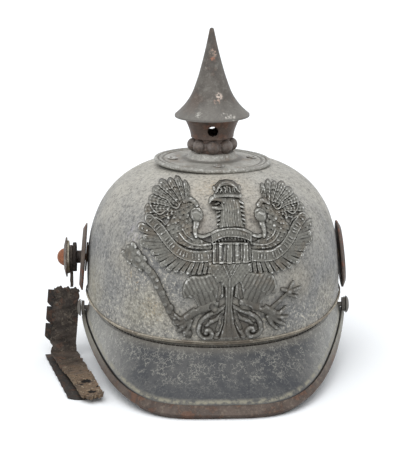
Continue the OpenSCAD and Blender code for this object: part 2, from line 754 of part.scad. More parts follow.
// Reach of a feather's tip at angle a, the longest ones low on the outer side
function feather_r(a) = 28.6 + 1.8 * cos(2 * (a + 20));
function feather_ray(a, r) = feather_hub + r * [cos(a), sin(a)];
module wing() {
    polygon(concat(
        [[11, 97]],
        [
            for (i = [0:feather_steps])
                let (a = feather_from + i * feather_turn, r = feather_r(a))
                each [
                    feather_ray(a - 0.5 * feather_turn, r - 5),
                    feather_ray(a - 0.28 * feather_turn, r - 1.6),
                    feather_ray(a, r),
                    feather_ray(a + 0.28 * feather_turn, r - 1.6)
                ]
        ],
        [[19.5, 141], [18.5, 137], [24, 134], [24.5, 128.5], [20, 125], [15, 122], [11, 121.5]]
    ));
}
module thigh() {
    polygon([[8.5, 97], [8.5, 76], [13, 73], [21, 71.5], [30, 75], [33.5, 81], [33, 88], [26, 93]]);
}
module leg() {
    polygon([[12, 75], [20, 72.5], [33, 64], [31, 57], [23, 62], [11, 69]]);
    translate([34, 58]) circle(r = 7.5);
    for (a = [-110, -80, -50]) translate([34, 58]) rotate([0, 0, a])
        polygon([[5, -2.2], [12.5, -0.8], [13.5, 1], [5, 2.2]]);
}
module tail_scroll() {
    difference() {
        translate([14.5, 54.5]) circle(r = 9);
        translate([14.5, 54.5]) circle(r = 5.6);
    }
    translate([12, 55.5]) circle(r = 3.2);
    polygon([[0, 80], [3.5, 76], [8, 66.5], [12, 61], [7.6, 58], [4.5, 63], [1.5, 72]]);
    translate([6.6, 46.8]) circle(r = 3.6);
}
module head() {
    polygon([[-6, 121], [11, 121], [9.5, 130], [8, 139.5], [1, 142.5], [-5, 140], [-6, 131]]);
    polygon([[-4, 140], [-10, 139.4], [-14, 136.8], [-13.6, 134.8], [-9.5, 136], [-4, 135.8]]);
    polygon([[-4, 134.4], [-9.5, 134.9], [-11, 133], [-5, 131.4]]);
    polygon([[6, 141], [9, 140.4], [13.4, 136.2], [11.8, 134.4], [7, 138]]);
}
module crown_outline() {
    polygon([
        [-6.5, 141.5], [7, 141.5], [9.5, 146], [6.5, 148], [3, 147.6], [0.5, 149],
        [-2.5, 147.6], [-6, 148], [-9, 146]
    ]);
}
module chest() {
    polygon([
        [-14, 122], [-8, 124], [8, 124], [14, 122], [14, 98], [8, 92], [0.5, 88], [-8, 92], [-14, 98]
    ]);
}
module stem() {
    polygon([[-3.5, 92], [4, 92], [2.4, 78], [3.2, 60], [5, 44], [-4, 44], [-2.4, 60], [-1.8, 78]]);
}
module sceptre() {
    polygon([
        [-60, 93], [-57, 90.5], [-45, 76], [-38, 62], [-35.5, 52],
        [-39, 52.5], [-43, 62], [-49, 76], [-61, 88]
    ]);
    translate([-74, 99]) circle(r = 4.2);
    translate([-68, 97]) circle(r = 5.4);
    translate([-61.5, 92.5]) circle(r = 4.4);
    translate([-56.5, 86]) circle(r = 3);
}
module orb_cross() {
    polygon([
        [38, 64], [44, 69], [42, 74], [46, 73], [48, 79], [51, 78], [50, 72.5], [56, 72],
        [55.5, 68.5], [49, 69], [47, 64], [43, 60]
    ]);
}
module eagle_sheet() {
    for (side = [-1, 1]) scale([side, 1]) {
        wing();
        thigh();
        leg();
        tail_scroll();
    }
    head();
    crown_outline();
    chest();
    stem();
    sceptre();
    orb_cross();
}
module eagle_raised() {
    for (side = [-1, 1]) scale([side, 1]) {
        band(ribbon_hub, 34, 40, -100, -24);
        translate([23, 132]) circle(r = 4.4);
        polygon([[10, 93.5], [10, 78], [20, 74.5], [28.5, 77], [31, 82], [30, 87], [24, 91]]);
    }
    band([0.5, 82], 35, 42, 68, 112);
    chest();
    head();
    stem();
}

// Skin of the dome between two offsets, behind an outline drawn on its front, above the piping
plate_foot_z = seam_z + piping_d / 2 + 2 * drape;
function drape_profile(off) = concat(
    [[0, plate_foot_z], [skull_half_width + off, plate_foot_z]],
    [
        for (i = [0:skull_steps]) [
            (skull_half_width + off) * shrink(climb_step(i)),
            shoulder_z + (crown_rise + off) * climb(climb_step(i))
        ]
    ],
    [[0, crown_z + off]]
);
module drape_body(off) {
    scale([1, (skull_half_length + off) / (skull_half_width + off), 1])
        rotate_extrude($fn = 96) polygon(drape_profile(off));
}
module draped(inner, outer) {
    intersection() {
        difference() {
            drape_body(outer);
            drape_body(inner);
        }
        translate([eagle_x, 0, plate_foot_z]) rotate([90, 0, 0]) linear_extrude(skull_half_length * 1.3)
            scale([eagle_scale, eagle_scale]) translate([0, -drawn_span[0]]) children();
    }
}

module front_plate() color("dimgray") {
    draped(eagle_gap, eagle_gap + eagle_t) eagle_sheet();
    draped(eagle_gap + eagle_t * 0.6, eagle_gap + eagle_t + eagle_relief) eagle_raised();
}

// Loops on the plate's back and the leather wedges that hold them inside

wedge_h = 3;
wedge_t = 3;
wedge_l = 24;
// Depth of a wedge's outer face behind the skull's outer face
wedge_in = 5.2;
// Frame of a loop on the skull's face, with -Y straight out of the wall
module at_loop(side) {
    x = eagle_x + side * loop_x;
    y = face_y(x, loop_z, 0);
    translate([x, -y, loop_z])
        rotate([0, 0, atan2(x / pow(skull_half_width, 2), y / pow(skull_half_length, 2))]) children();
}
loop_in = wedge_in + wedge_t + seat + loop_t;
module plate_loops() color("darkgoldenrod") intersection() {
    drape_body(eagle_gap - seat);
    for (side = [-1, 1]) at_loop(side) difference() {
        translate([-loop_t / 2, -skull_leather * 2, -loop_h / 2])
            cube([loop_t, skull_leather * 2 + loop_in, loop_h]);
        translate([-cut, wedge_in - seat, -wedge_h / 2 - seat])
            cube([2 * cut, wedge_t + 2 * seat, wedge_h + 2 * seat]);
    }
}

module plate_wedges() color("saddlebrown") for (side = [-1, 1]) at_loop(side)
    translate([-wedge_l / 2, wedge_in, -wedge_h / 2]) cube([wedge_l, wedge_t, wedge_h]);

// Cockades, on a seat plane that leans with the wall

wall_x = side_x(bush_z, 0);
wall_lean = atan((side_x(bush_z - cockade_d / 2, 0) - side_x(bush_z + cockade_d / 2, 0)) / cockade_d);
bush_flange_t = 1;
bush_in_x = side_x(bush_z + bush_flange_d / 2, inner_off) - 2 * drape;
bush_out_x = wall_x + drape;
cockade_profile = [
    [post_d / 2 - 1.6, 0],
    [cockade_d / 2, 0],
    [cockade_d / 2, cockade_t],
    [cockade_d * 0.42, cockade_h],
    [cockade_d * 0.3, cockade_h],
    [cockade_d * 0.22, cockade_t],
    [post_d / 2 - 1.6, cockade_t]
];
module cockade(side, x) {
    translate([side * x, 0, bush_z]) rotate([0, side * (90 - wall_lean), 0])
        rotate_extrude($fn = 96) polygon(cockade_profile);
}
right_cockade_x = wall_x + packing_t + 0.5;
left_cockade_x = bush_out_x + bush_d / 2 * tan(wall_lean) + seat;
module cockade_right() color("gray") cockade(-1, right_cockade_x);
module cockade_left() color("gray") cockade(1, left_cockade_x);

module cockade_packing() color("saddlebrown") difference() {
    translate([-wall_x - seat, 0, bush_z]) rotate([0, -90 + wall_lean, 0])
        cylinder(h = packing_t, d = bush_flange_d + 6);
    side_cylinder(-wall_x - 3 * packing_t, -wall_x + 3 * packing_t, bush_d + 2 * drape);
}

// Bushes through the skull for the rosette screws, with a flange inside

module side_bush(side) difference() {
    union() {
        side_cylinder(side * (bush_in_x - bush_flange_t), side * bush_out_x, bush_d);
        side_cylinder(side * (bush_in_x - bush_flange_t), side * bush_in_x, bush_flange_d);
    }
    side_cylinder(side * (bush_in_x - bush_flange_t - cut), side * (bush_out_x + cut), bush_bore_d);
}
module side_bush_right() color("goldenrod") side_bush(-1);
module side_bush_left() color("goldenrod") side_bush(1);

// Rosette stack on the helmet's right side, from the cockade outwards

post_in_x = right_cockade_x + cockade_t + 0.5;
post_out_x = post_in_x + post_l;
inner_washer_x = post_out_x + seat;
eye_x = inner_washer_x + inner_washer_t + seat;
outer_washer_x = eye_x + strap_t + seat;
disc_x = outer_washer_x + outer_washer_t + seat;
screw_d = bush_bore_d - 2 * screw_gap;
module ring_on_axis(x0, x1, outer, bore) difference() {
    side_cylinder(-x1, -x0, outer);
    side_cylinder(-x1 - cut, -x0 + cut, bore);
}
module rosette_post() color("#3a3230") ring_on_axis(post_in_x, post_out_x, post_d, bush_bore_d);
module rosette_inner_washer() color("#2e2622")
    ring_on_axis(inner_washer_x, inner_washer_x + inner_washer_t, eye_d + 4, bush_bore_d);
module rosette_outer_washer() color("#b9b2a2")
    ring_on_axis(outer_washer_x, outer_washer_x + outer_washer_t, rosette_d - 5, bush_bore_d);
module rosette_disc() color("gray") difference() {
    translate([-disc_x, 0, bush_z]) rotate([0, -90, 0]) rotate_extrude($fn = 96) polygon([
        [0, 0.8],
        [rosette_d / 2 - 2, 0],
        [rosette_d / 2, 0],
        [rosette_d / 2, 0.9],
        [rosette_d * 0.3, rosette_t],
        [0, rosette_t]
    ]);
    side_cylinder(-disc_x - 2 * rosette_t, -disc_x + cut, bush_bore_d);
}
ball_x = disc_x + rosette_t + seat;
ball_proud = 5.2;
module rosette_screw() color("sienna") {
    side_cylinder(-bush_in_x + 0.5, -ball_x - cut, screw_d);
    intersection() {
        translate([-ball_x - ball_proud + ball_d / 2, 0, bush_z]) sphere(d = ball_d, $fn = 48);
        side_cylinder(-ball_x - ball_proud - cut, -ball_x, ball_d + 2);
    }
}

// Chin strap: an eye and tongue, a hanging part and a part that lies on the table

tab_x = -(eye_x + strap_t / 2);
module strap_tab() color("#2c2521") difference() {
    translate([tab_x - strap_t / 2, 0, 0]) rotate([90, 0, 90]) linear_extrude(strap_t) {
        translate([0, bush_z]) circle(d = eye_d);
        translate([-tongue_w / 2, strap_top_z + seat]) square([tongue_w, bush_z - strap_top_z]);
    }
    side_cylinder(tab_x - strap_t, tab_x + strap_t, bush_bore_d);
}

// The strap bends here, just above the table
scale_l = scale_pitch + 2.4;
scale_tilt = asin((scale_t + drape) / scale_pitch);
scale_stack = scale_t + scale_l * sin(scale_tilt);
under_fold = 0.1;
over_fold = 0.3;
fold_y = 0;
fold_z = under_fold + strap_t + drape + scale_stack + seat;
hang_l = (strap_top_z - fold_z) / cos(strap_lean);
// Ragged outline of the hanging leather, from its torn top down
module upper_outline() {
    polygon([
        [-strap_w / 2, over_fold - strap_w / 2 * tan(strap_lean)],
        [strap_w / 2, over_fold + strap_w / 2 * tan(strap_lean)], [strap_w / 2, hang_l - 4],
        [strap_w / 2 - 2, hang_l - 1.6], [strap_offset + strap_t, hang_l + 0.5], [0, hang_l + 0.1],
        [-3, hang_l - 1.2], [-6, hang_l - 0.4], [-strap_w / 2 + 1, hang_l - 1.4]
    ]);
}
// Frame of the hanging part, its origin at the fold, its length up and its inner face to -Y
fold_x = tab_x - strap_offset - (strap_top_z - fold_z) * tan(strap_lean);
module hanging() {
    translate([fold_x, fold_y, fold_z]) rotate([0, strap_lean, 0]) children();
}
// Frame of the lying part, its origin at the fold and its length to -Y
module lying() {
    translate([fold_x, fold_y, fold_z]) rotate([0, 0, strap_turn]) children();
}
module strap_leather_upper() color("#4a3f38") hanging()
    rotate([90, 0, 0]) linear_extrude(strap_t, center = true) upper_outline();

module lower_outline() {
    polygon([
        [-strap_w / 2, strap_w / 2 * tan(strap_turn)], [strap_w / 2, -strap_w / 2 * tan(strap_turn)],
        [strap_w / 2 + 0.8, -40], [strap_w / 2, -90],
        [strap_w / 2 + 1, -strap_lying_l + 8], [strap_w / 2 - 3, -strap_lying_l + 3],
        [strap_w / 2 - 6, -strap_lying_l + 5], [2, -strap_lying_l], [-3, -strap_lying_l + 4],
        [-strap_w / 2, -strap_lying_l + 1]
    ]);
}
module strap_leather_lower() color("#6b5f50") lying()
    translate([0, 0, -under_fold - strap_t]) linear_extrude(strap_t) lower_outline();

// One scale, its upper edge at the origin, its rounded end at -Y and its outer face down
module scale_outline() {
    intersection() {
        translate([-scale_w / 2, -scale_l]) square([scale_w, scale_l]);
        translate([0, -scale_l + scale_w * 0.62]) circle(d = scale_w * 1.24);
    }
}
module scale_row(count) {
    for (i = [0:count - 1]) translate([0, -i * scale_pitch, 0]) rotate([scale_tilt, 0, 0])
        translate([0, 0, -scale_t]) linear_extrude(scale_t) scale_outline();
}
// The scales overlap like tiles, each with its lower end outwards
upper_scales = floor((hang_l - 6) / scale_pitch);
lower_scales = floor((strap_lying_l - 6) / scale_pitch);
module chin_scales_upper() color("#3c3936") hanging()
    translate([-1, strap_t / 2 + drape, hang_l - 4]) rotate([90, 0, 0]) scale_row(upper_scales);
module chin_scales_lower() color("#3c3936") lying()
    translate([0, -1.5, -under_fold - strap_t - drape]) scale_row(lower_scales);

// Liner

band_off = visor_root_off - visor_leather - 0.5;
band_z = seam_z - 1;
function band_point(p, z, off) = [
    (skull_half_width + off) * sin(p), -(skull_half_length + off) * cos(p), z
];
module liner_band() color("#8a6a48") skin([
    for (i = [0:skull_slices - 1])
        let (p = -i * 360 / skull_slices)
        [
            band_point(p, band_z, band_off),
            band_point(p, band_z + band_h, band_off),
            band_point(p, band_z + band_h, band_off - liner_t),
            band_point(p, band_z, band_off - liner_t)
        ]
], loop = true);

// One tongue rises from the band and leans in to the drawstring
tongue_root_w = 20;
tongue_tip_w = 5;
tongue_rows = 6;
tongue_foot_z = band_z + band_h - 6;
function tongue_point(p, s, off) =
    let (
        z = tongue_foot_z + s * (liner_ring_z + 1.5 - tongue_foot_z),
        k = pow(s, 1.7),
        root = band_off - liner_t - drape + off,
        x = (skull_half_width + root) * (1 - k) + (liner_ring_r + off) * k,
        y = (skull_half_length + root) * (1 - k) + (liner_ring_r + off) * k
    )
    [x * sin(p), -y * cos(p), z];
module liner_tongues() color("#9a7a55") for (i = [0:tongue_count - 1])
    let (mid = -(i + 0.5) * 360 / tongue_count)
    skin([
        for (r = [0:tongue_rows])
            let (
                s = r / tongue_rows,
                w = tongue_root_w * (1 - s) + (tongue_tip_w + 9) * s
            )
            concat(
                [for (q = [-1:0.5:1]) tongue_point(mid + q * w, s, 0)],
                [for (q = [1:-0.5:-1]) tongue_point(mid + q * w, s, -liner_t)]
            )
    ]);

// The drawstring lies just under the tongues' tips
module liner_drawstring() color("#c8b890") translate([0, 0, liner_ring_z])
    rotate_extrude($fn = 96) translate([liner_ring_r - liner_t - 2 * drape, 0]) circle(d = string_d);

skull_shell();
front_visor();
rear_visor();
seam_piping();
front_visor_trim();
trim_studs();
rear_spine();
vent_slider();
spine_rivets();
spike_base_plate();
base_plate_rivets();
rivet_washers();
spike_neck();
pearl_ring();
spike_washer();
spike();
front_plate();
plate_loops();
plate_wedges();
cockade_right();
cockade_left();
cockade_packing();
side_bush_right();
side_bush_left();
rosette_post();
rosette_inner_washer();
rosette_outer_washer();
rosette_disc();
rosette_screw();
strap_tab();
strap_leather_upper();
strap_leather_lower();
chin_scales_upper();
chin_scales_lower();
liner_band();
liner_tongues();
liner_drawstring();
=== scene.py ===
import math

import bmesh
import bpy
import numpy as np
from mathutils import Matrix, Vector


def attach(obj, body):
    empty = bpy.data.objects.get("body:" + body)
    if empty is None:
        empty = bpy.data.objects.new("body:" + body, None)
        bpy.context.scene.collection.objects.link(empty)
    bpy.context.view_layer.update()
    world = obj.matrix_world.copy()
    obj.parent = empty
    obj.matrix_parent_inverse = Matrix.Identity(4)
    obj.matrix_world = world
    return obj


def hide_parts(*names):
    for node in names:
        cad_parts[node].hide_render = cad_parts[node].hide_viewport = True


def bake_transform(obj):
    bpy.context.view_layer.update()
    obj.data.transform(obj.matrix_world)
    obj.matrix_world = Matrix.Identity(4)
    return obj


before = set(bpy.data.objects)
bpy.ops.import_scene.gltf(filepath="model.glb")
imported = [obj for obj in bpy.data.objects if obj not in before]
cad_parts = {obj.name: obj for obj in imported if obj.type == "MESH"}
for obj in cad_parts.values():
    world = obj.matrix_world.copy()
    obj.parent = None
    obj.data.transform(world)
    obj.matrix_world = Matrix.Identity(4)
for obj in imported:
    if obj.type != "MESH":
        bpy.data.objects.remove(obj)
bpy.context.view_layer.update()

scene = bpy.context.scene

# All shapes are written in millimetres and scaled to metres when a mesh is made
MM = 0.001

# Camera, on the photograph's frame

FOCAL, FRAME_HEIGHT, SENSOR = 2000, 451, 36
yaw, pitch, roll = math.radians(-1.66), math.radians(13.51), math.radians(-0.29)
ahead = Vector((-math.sin(yaw) * math.cos(pitch), math.cos(yaw) * math.cos(pitch), -math.sin(pitch)))
flat_right = Vector((math.cos(yaw), math.sin(yaw), 0))
flat_up = flat_right.cross(ahead)
right = flat_right * math.cos(roll) + flat_up * math.sin(roll)
up = -flat_right * math.sin(roll) + flat_up * math.cos(roll)
camera = bpy.data.objects.new("camera", bpy.data.cameras.new("camera"))
scene.collection.objects.link(camera)
turned = Matrix((right, up, -ahead)).transposed().to_4x4()
camera.matrix_world = Matrix.Translation((-0.0484, -1.4716, 0.4549)) @ turned
camera.data.sensor_width = SENSOR
camera.data.lens = FOCAL * SENSOR / FRAME_HEIGHT
camera.data.clip_end = 50
scene.camera = camera
scene.view_settings.view_transform = "Standard"


# Node materials

def rgb(r, g, b):
    return tuple(((c / 255 + 0.055) / 1.055) ** 2.4 if c > 10 else c / 255 / 12.92 for c in (r, g, b)) + (1,)


class Nodes:
    """Short ways to add nodes to a tree."""

    def __init__(self, tree):
        self.tree = tree

    def node(self, kind, **values):
        made = self.tree.nodes.new("ShaderNode" + kind)
        for key, value in values.items():
            setattr(made, key, value)
        return made

    def plug(self, socket, value):
        if hasattr(value, "is_output"):
            self.tree.links.new(value, socket)
        else:
            socket.default_value = value

    def math(self, operation, a, b=0.0):
        made = self.node("Math", operation=operation)
        self.plug(made.inputs[0], a)
        self.plug(made.inputs[1], b)
        return made.outputs[0]

    def part(self, vector, axis):
        made = self.node("SeparateXYZ")
        self.plug(made.inputs[0], vector)
        return made.outputs[axis]

    def between(self, value, low, high, a=0.0, b=1.0, way="SMOOTHSTEP"):
        """Run from a to b as the value goes from low to high."""
        made = self.node("MapRange", interpolation_type=way)
        self.plug(made.inputs[0], value)
        for i, number in enumerate((low, high, a, b)):
            made.inputs[i + 1].default_value = number
        return made.outputs[0]

    def mix(self, amount, a, b):
        """Blend two tones: sockets, linear colours, or red, green and blue from 0 to 255."""
        made = self.node("Mix", data_type="RGBA")
        self.plug(made.inputs[0], amount)
        for socket, tone in ((made.inputs[6], a), (made.inputs[7], b)):
            self.plug(socket, rgb(*tone) if isinstance(tone, tuple) and len(tone) == 3 else tone)
        return made.outputs[2]

    def seen(self):
        """1 for rays from the camera and for reflections."""
        path = self.node("LightPath").outputs
        direct = self.math("MAXIMUM", path["Is Camera Ray"], path["Is Glossy Ray"])
        return self.math("MAXIMUM", direct, path["Is Transmission Ray"])


class Paint(Nodes):
    """A node material whose patterns are measured in millimetres, laid coat over coat."""

    def __init__(self, name, rest=False):
        self.material = bpy.data.materials.new(name)
        self.material.use_nodes = True
        super().__init__(self.material.node_tree)
        self.shader = self.tree.nodes["Principled BSDF"]
        if rest:
            self.at = self.named("rest", "Vector")
        else:
            place = self.node("TexCoord").outputs["Object"]
            self.at = self.vector("SCALE", place, scale=1000)
        self.height = self.part(self.at, 2)
        self.seed = 0

    def named(self, name, output="Fac"):
        return self.node("Attribute", attribute_name=name).outputs[output]

    def vector(self, operation, a, b=None, scale=None):
        made = self.node("VectorMath", operation=operation)
        self.plug(made.inputs[0], a)
        if b is not None:
            self.plug(made.inputs[1], b)
        if scale is not None:
            self.plug(made.inputs["Scale"], scale)
        return made.outputs["Value" if operation == "DISTANCE" else "Vector"]

    def times(self, a, b):
        return self.math("MULTIPLY", a, b)

    def stretched(self, x, y, z):
        return self.vector("MULTIPLY", self.at, (x, y, z))

    def noise(self, size, detail=3.0, rough=0.6, at=None):
        self.seed += 1
        moved = self.vector("ADD", at or self.at, (37.1 * self.seed, 11.7 * self.seed, 5.3 * self.seed))
        made = self.node("TexNoise")
        self.plug(made.inputs["Vector"], moved)
        made.inputs["Scale"].default_value = 1 / size
        made.inputs["Detail"].default_value = detail
        made.inputs["Roughness"].default_value = rough
        return made.outputs["Fac"]

    def cells(self, size, feature="DISTANCE_TO_EDGE", warp=0.0):
        self.seed += 1
        shake = self.node("TexNoise")
        self.plug(shake.inputs["Vector"], self.at)
        shake.inputs["Scale"].default_value = 1.3 / size
        shake.inputs["Detail"].default_value = 2
        centred = self.vector("SUBTRACT", shake.outputs["Color"], (0.5, 0.5, 0.5))
        made = self.node("TexVoronoi", feature=feature)
        self.plug(made.inputs["Vector"], self.vector("ADD", self.at, self.vector("SCALE", centred, scale=warp)))
        made.inputs["Scale"].default_value = 1 / size
        return made.outputs["Distance"]

    def start(self, amount, a, b):
        self.colour = self.mix(amount, a, b)

    def coat(self, amount, tone):
        self.colour = self.mix(amount, self.colour, tone)

    def around(self, centre, radius, soft=0.6):
        """1 near a point, fading to 0 at the radius, both in millimetres."""
        return self.between(self.vector("DISTANCE", self.at, centre), radius * (1 - soft), radius, 1, 0)

    def bump(self, height, strength, depth, after=None):
        made = self.node("Bump")
        made.inputs["Strength"].default_value = strength
        made.inputs["Distance"].default_value = depth * MM
        self.plug(made.inputs["Height"], height)
        if after is not None:
            self.plug(made.inputs["Normal"], after)
        return made.outputs["Normal"]

    def done(self, rough, normal, metallic=0.0, specular=0.35):
        for name, value in (("Base Color", self.colour), ("Roughness", rough), ("Metallic", metallic),
                            ("Normal", normal)):
            self.plug(self.shader.inputs[name], value)
        self.shader.inputs["Specular IOR Level"].default_value = specular
        return self.material


def dome_leather():
    p = Paint("skull_leather_aged")
    broad = p.noise(46, 3, 0.55)
    middle = p.noise(9, 4, 0.65)
    fine = p.noise(3.0, 4, 0.78)
    grit = p.noise(1.9, 3, 0.75)
    streak = p.noise(5, 4, 0.65, at=p.stretched(1, 1, 0.22))
    p.start(p.between(broad, 0.38, 0.64), (134, 134, 133), (168, 165, 157))
    p.coat(p.between(middle, 0.4, 0.7, 0, 0.55), (118, 118, 117))
    p.coat(p.between(streak, 0.52, 0.75, 0, 0.4), (178, 175, 167))
    # paler towards the shoulders and the crown: dust that has settled there, and painted light on the up-facing top
    p.coat(p.between(p.height, 105, 150, 0, 0.6), (184, 180, 170))
    # tan bloom round the front plate and below the base plate
    for centre, radius, strength, tone in (
        ((4, -72, 146), 42, 0.5, (170, 156, 136)),
        ((-14, -96, 123), 20, 0.55, (160, 148, 132)),
        ((20, -96, 126), 24, 0.5, (156, 145, 130)),
        ((-70, -84, 96), 26, 0.5, (176, 168, 150)),
        ((-42, -106, 68), 24, 0.6, (162, 152, 130)),
        ((-60, -98, 60), 26, 0.5, (168, 162, 142)),
        ((58, -92, 80), 22, 0.4, (158, 148, 130)),
        ((-93, -40, 62), 34, 0.6, (176, 169, 148)),
        ((88, -58, 60), 30, 0.45, (168, 160, 142)),
        ((10, -118, 52), 52, 0.4, (142, 132, 114)),
        ((76, -66, 112), 40, 0.5, (186, 182, 172)),
    ):
        spot = p.times(p.around(centre, radius, 0.9), p.between(middle, 0.3, 0.62, 0.3, strength))
        p.coat(spot, tone)
    # cool dark patches where the finish is left
    for centre, radius, strength in (((-80, -76, 78), 26, 0.4), ((84, -70, 84), 24, 0.3),
                                     ((-32, -112, 78), 20, 0.6), ((48, -100, 62), 26, 0.5)):
        spot = p.times(p.around(centre, radius, 0.9), p.between(broad, 0.3, 0.6, 0.4, strength))
        p.coat(spot, (104, 107, 111))
    # scrape beside the plate's wing
    torn = p.between(p.noise(3.2, 4, 0.7), 0.53, 0.6)
    p.coat(p.times(p.around((-64, -86, 120), 17, 0.7), torn), (192, 186, 196))
    chips = p.between(p.noise(2.4, 3, 0.7), 0.57, 0.64)
    for centre, radius in (((-58, -92, 122), 12), ((-63, -95, 106), 10), ((-52, -104, 96), 10), ((-48, -104, 64), 14),
                           ((-66, -96, 84), 16), ((0, -66, 147), 18)):
        p.coat(p.times(p.around(centre, radius, 0.7), chips), (182, 158, 122))
    # speckle: pale dust in the grain and dark pits, thickest low down and beside the plate
    dusty = p.math("MAXIMUM", p.between(p.height, 78, 54), p.around((-52, -100, 84), 44, 0.8))
    p.coat(p.times(p.between(grit, 0.54, 0.64), p.math("ADD", p.times(dusty, 0.6), 0.25)), (216, 210, 194))
    p.coat(p.between(fine, 0.52, 0.7, 0, 0.6), (200, 196, 187))
    p.coat(p.between(fine, 0.48, 0.32, 0, 0.65), (84, 83, 82))
    p.coat(p.between(grit, 0.47, 0.36, 0, 0.55), (80, 79, 78))
    rough = p.between(middle, 0.3, 0.7, 0.5, 0.72)
    normal = p.bump(p.math("ADD", p.cells(1.3, "F1", 0.5), fine), 0.5, 0.22)
    return p.done(rough, p.bump(p.noise(7, 4), 0.25, 0.5, normal))


def visor_leather():
    p = Paint("visor_leather_crackled")
    broad = p.noise(30, 3)
    middle = p.noise(5, 4, 0.65)
    fine = p.noise(2.0, 3, 0.75)
    edge = p.named("edge")
    root = p.named("root")
    p.start(p.between(broad, 0.35, 0.65), (60, 62, 66), (80, 80, 80))
    p.coat(p.between(middle, 0.5, 0.72, 0, 0.4), (52, 55, 60))
    p.coat(p.between(root, 16, 3, 0, 0.6), (138, 132, 120))
    side = p.between(p.math("ABSOLUTE", p.part(p.at, 0)), 52, 96)
    p.coat(p.times(side, p.between(broad, 0.25, 0.6, 0.6, 1)), (158, 157, 152))
    # fine pale crackle, thinning out towards the trim
    dense = p.math("MAXIMUM", p.between(edge, 12, 30, 0.15, 0.68), p.times(side, 0.85))
    wide = p.times(p.between(p.cells(3.7, warp=4.2), 0.06, 0.015), p.between(p.noise(7, 3, 0.6), 0.45, 0.55))
    close = p.times(p.between(p.cells(2.1, warp=2.4), 0.085, 0.02), p.between(p.noise(5, 3, 0.6), 0.52, 0.62))
    cracks = p.math("MAXIMUM", wide, close)
    pale = p.mix(side, (156, 154, 145), (214, 212, 202))
    p.coat(p.times(cracks, dense), pale)
    p.coat(p.between(fine, 0.55, 0.72, 0, 0.3), (134, 133, 127))
    p.coat(p.between(fine, 0.45, 0.3, 0, 0.5), (38, 40, 45))
    # painted shade in the stitch groove below the seam
    groove = p.times(p.between(root, 3.6, 4.4), p.between(root, 6.0, 5.2))
    p.coat(p.times(groove, 0.6), (58, 52, 46))
    # worn line above the trim, and painted shadow in the gap behind the trim's lip
    worn = p.times(p.between(edge, 6.2, 7.9), p.between(edge, 11.4, 8.4))
    worn = p.times(worn, p.between(middle, 0.38, 0.6, 0.1, 0.75))
    p.coat(worn, (158, 153, 134))
    p.coat(p.between(edge, 6.6, 5.9, 0, 0.92), (20, 19, 19))
    normal = p.bump(p.math("SUBTRACT", p.cells(1.1, "F1", 0.5), cracks), 0.4, 0.16)
    rough = p.between(middle, 0.3, 0.7, 0.42, 0.62)
    return p.done(rough, p.bump(p.noise(9, 3), 0.3, 0.5, normal), specular=0.4)


def aged(name, base, dark, light, rust, rusted=0.5, size=14.0, gloss=0.5, metallic=0.25, rest=False, relief_shade_and_highlights=None,
         lift=None, shade=None, chips=()):
    """Old painted or tarnished metal: patches, specks, rust and, with an attribute, painted shade in the hollows,
    crests lighter from wear and painted highlight, and painted glints.
    """
    p = Paint(name, rest)
    broad = p.noise(size, 4, 0.6)
    middle = p.noise(size / 4, 4, 0.65)
    fine = p.noise(0.9, 3, 0.7)
    p.start(p.between(broad, 0.35, 0.65), base, dark)
    p.coat(p.between(middle, 0.5, 0.68, 0, 0.55), light)
    scale = p.math("ADD", broad, p.times(middle, 0.6))
    p.coat(p.between(scale, 0.78, 0.98, 0, rusted), rust)
    if lift:
        low, high, strength, tone = lift
        p.coat(p.times(p.between(p.height, low, high), p.between(broad, 0.3, 0.6, 0.5, strength)), tone)
    if relief_shade_and_highlights:
        # painted shade in the relief's hollows, crests lighter from wear and painted highlight, painted glints on
        # them, then dark specks
        rise = p.named("rise")
        p.coat(p.between(rise, -0.02, -0.34, 0, 0.85), relief_shade_and_highlights[0])
        p.coat(p.between(rise, 0.05, 0.32, 0, 0.65), relief_shade_and_highlights[1])
        p.coat(p.times(p.between(rise, 0.08, 0.26), p.between(p.noise(2.6, 4, 0.7), 0.52, 0.6)), relief_shade_and_highlights[2])
        p.coat(p.between(p.noise(1.7, 3, 0.7), 0.5, 0.34, 0, 0.45), relief_shade_and_highlights[0])
    if shade:
        low, high, strength, tone = shade
        p.coat(p.between(p.height, low, high, 0, strength), tone)
    p.coat(p.between(fine, 0.56, 0.72, 0, 0.5), light)
    p.coat(p.between(fine, 0.44, 0.3, 0, 0.5), dark)
    flakes = p.between(p.noise(2.1, 4, 0.7), 0.5, 0.56) if chips else 0
    for centre, radius, tone in chips:
        p.coat(p.times(p.around(centre, radius, 0.6), flakes), tone)
    rough = p.between(middle, 0.3, 0.7, gloss, gloss + 0.22)
    normal = p.bump(p.math("ADD", fine, p.times(middle, 1.5)), 0.35, 0.18)
    return p.done(rough, normal, metallic, 0.45)


def old_leather(name, base, dark, light, rest=False, torn=False, stain=None, lying=None):
    """Dry cracked leather, with torn holes and a more worn lying part where its attributes say so."""
    p = Paint(name, rest)
    grain = 1.4
    broad = p.noise(16, 4, 0.6)
    middle = p.noise(4, 4, 0.65)
    fine = p.noise(0.8, 3, 0.7)
    p.start(p.between(broad, 0.38, 0.62), base, dark)
    p.coat(p.between(middle, 0.5, 0.7, 0, 0.6), light)
    if stain:
        p.coat(p.between(p.noise(9, 3, 0.6), 0.53, 0.64, 0, 0.75), stain)
    if lying:
        worn = p.times(p.named("lying"), p.between(p.noise(13, 4, 0.65), 0.36, 0.56, 0.35, 0.95))
        p.coat(worn, lying[0])
        p.coat(p.times(p.named("lying"), p.between(middle, 0.52, 0.66)), lying[1])
    cracks = p.between(p.cells(grain * 2.2, warp=grain * 2), 0.09, 0.02)
    p.coat(p.times(cracks, p.between(middle, 0.4, 0.6)), dark)
    p.coat(p.between(fine, 0.56, 0.74, 0, 0.45), light)
    if torn:
        p.coat(p.between(p.named("torn"), 0.2, 0.7), (24, 20, 18))
    normal = p.bump(p.math("SUBTRACT", p.cells(grain, "F1", 0.5), cracks), 0.5, 0.25)
    return p.done(p.between(middle, 0.3, 0.7, 0.6, 0.85), normal, specular=0.3)


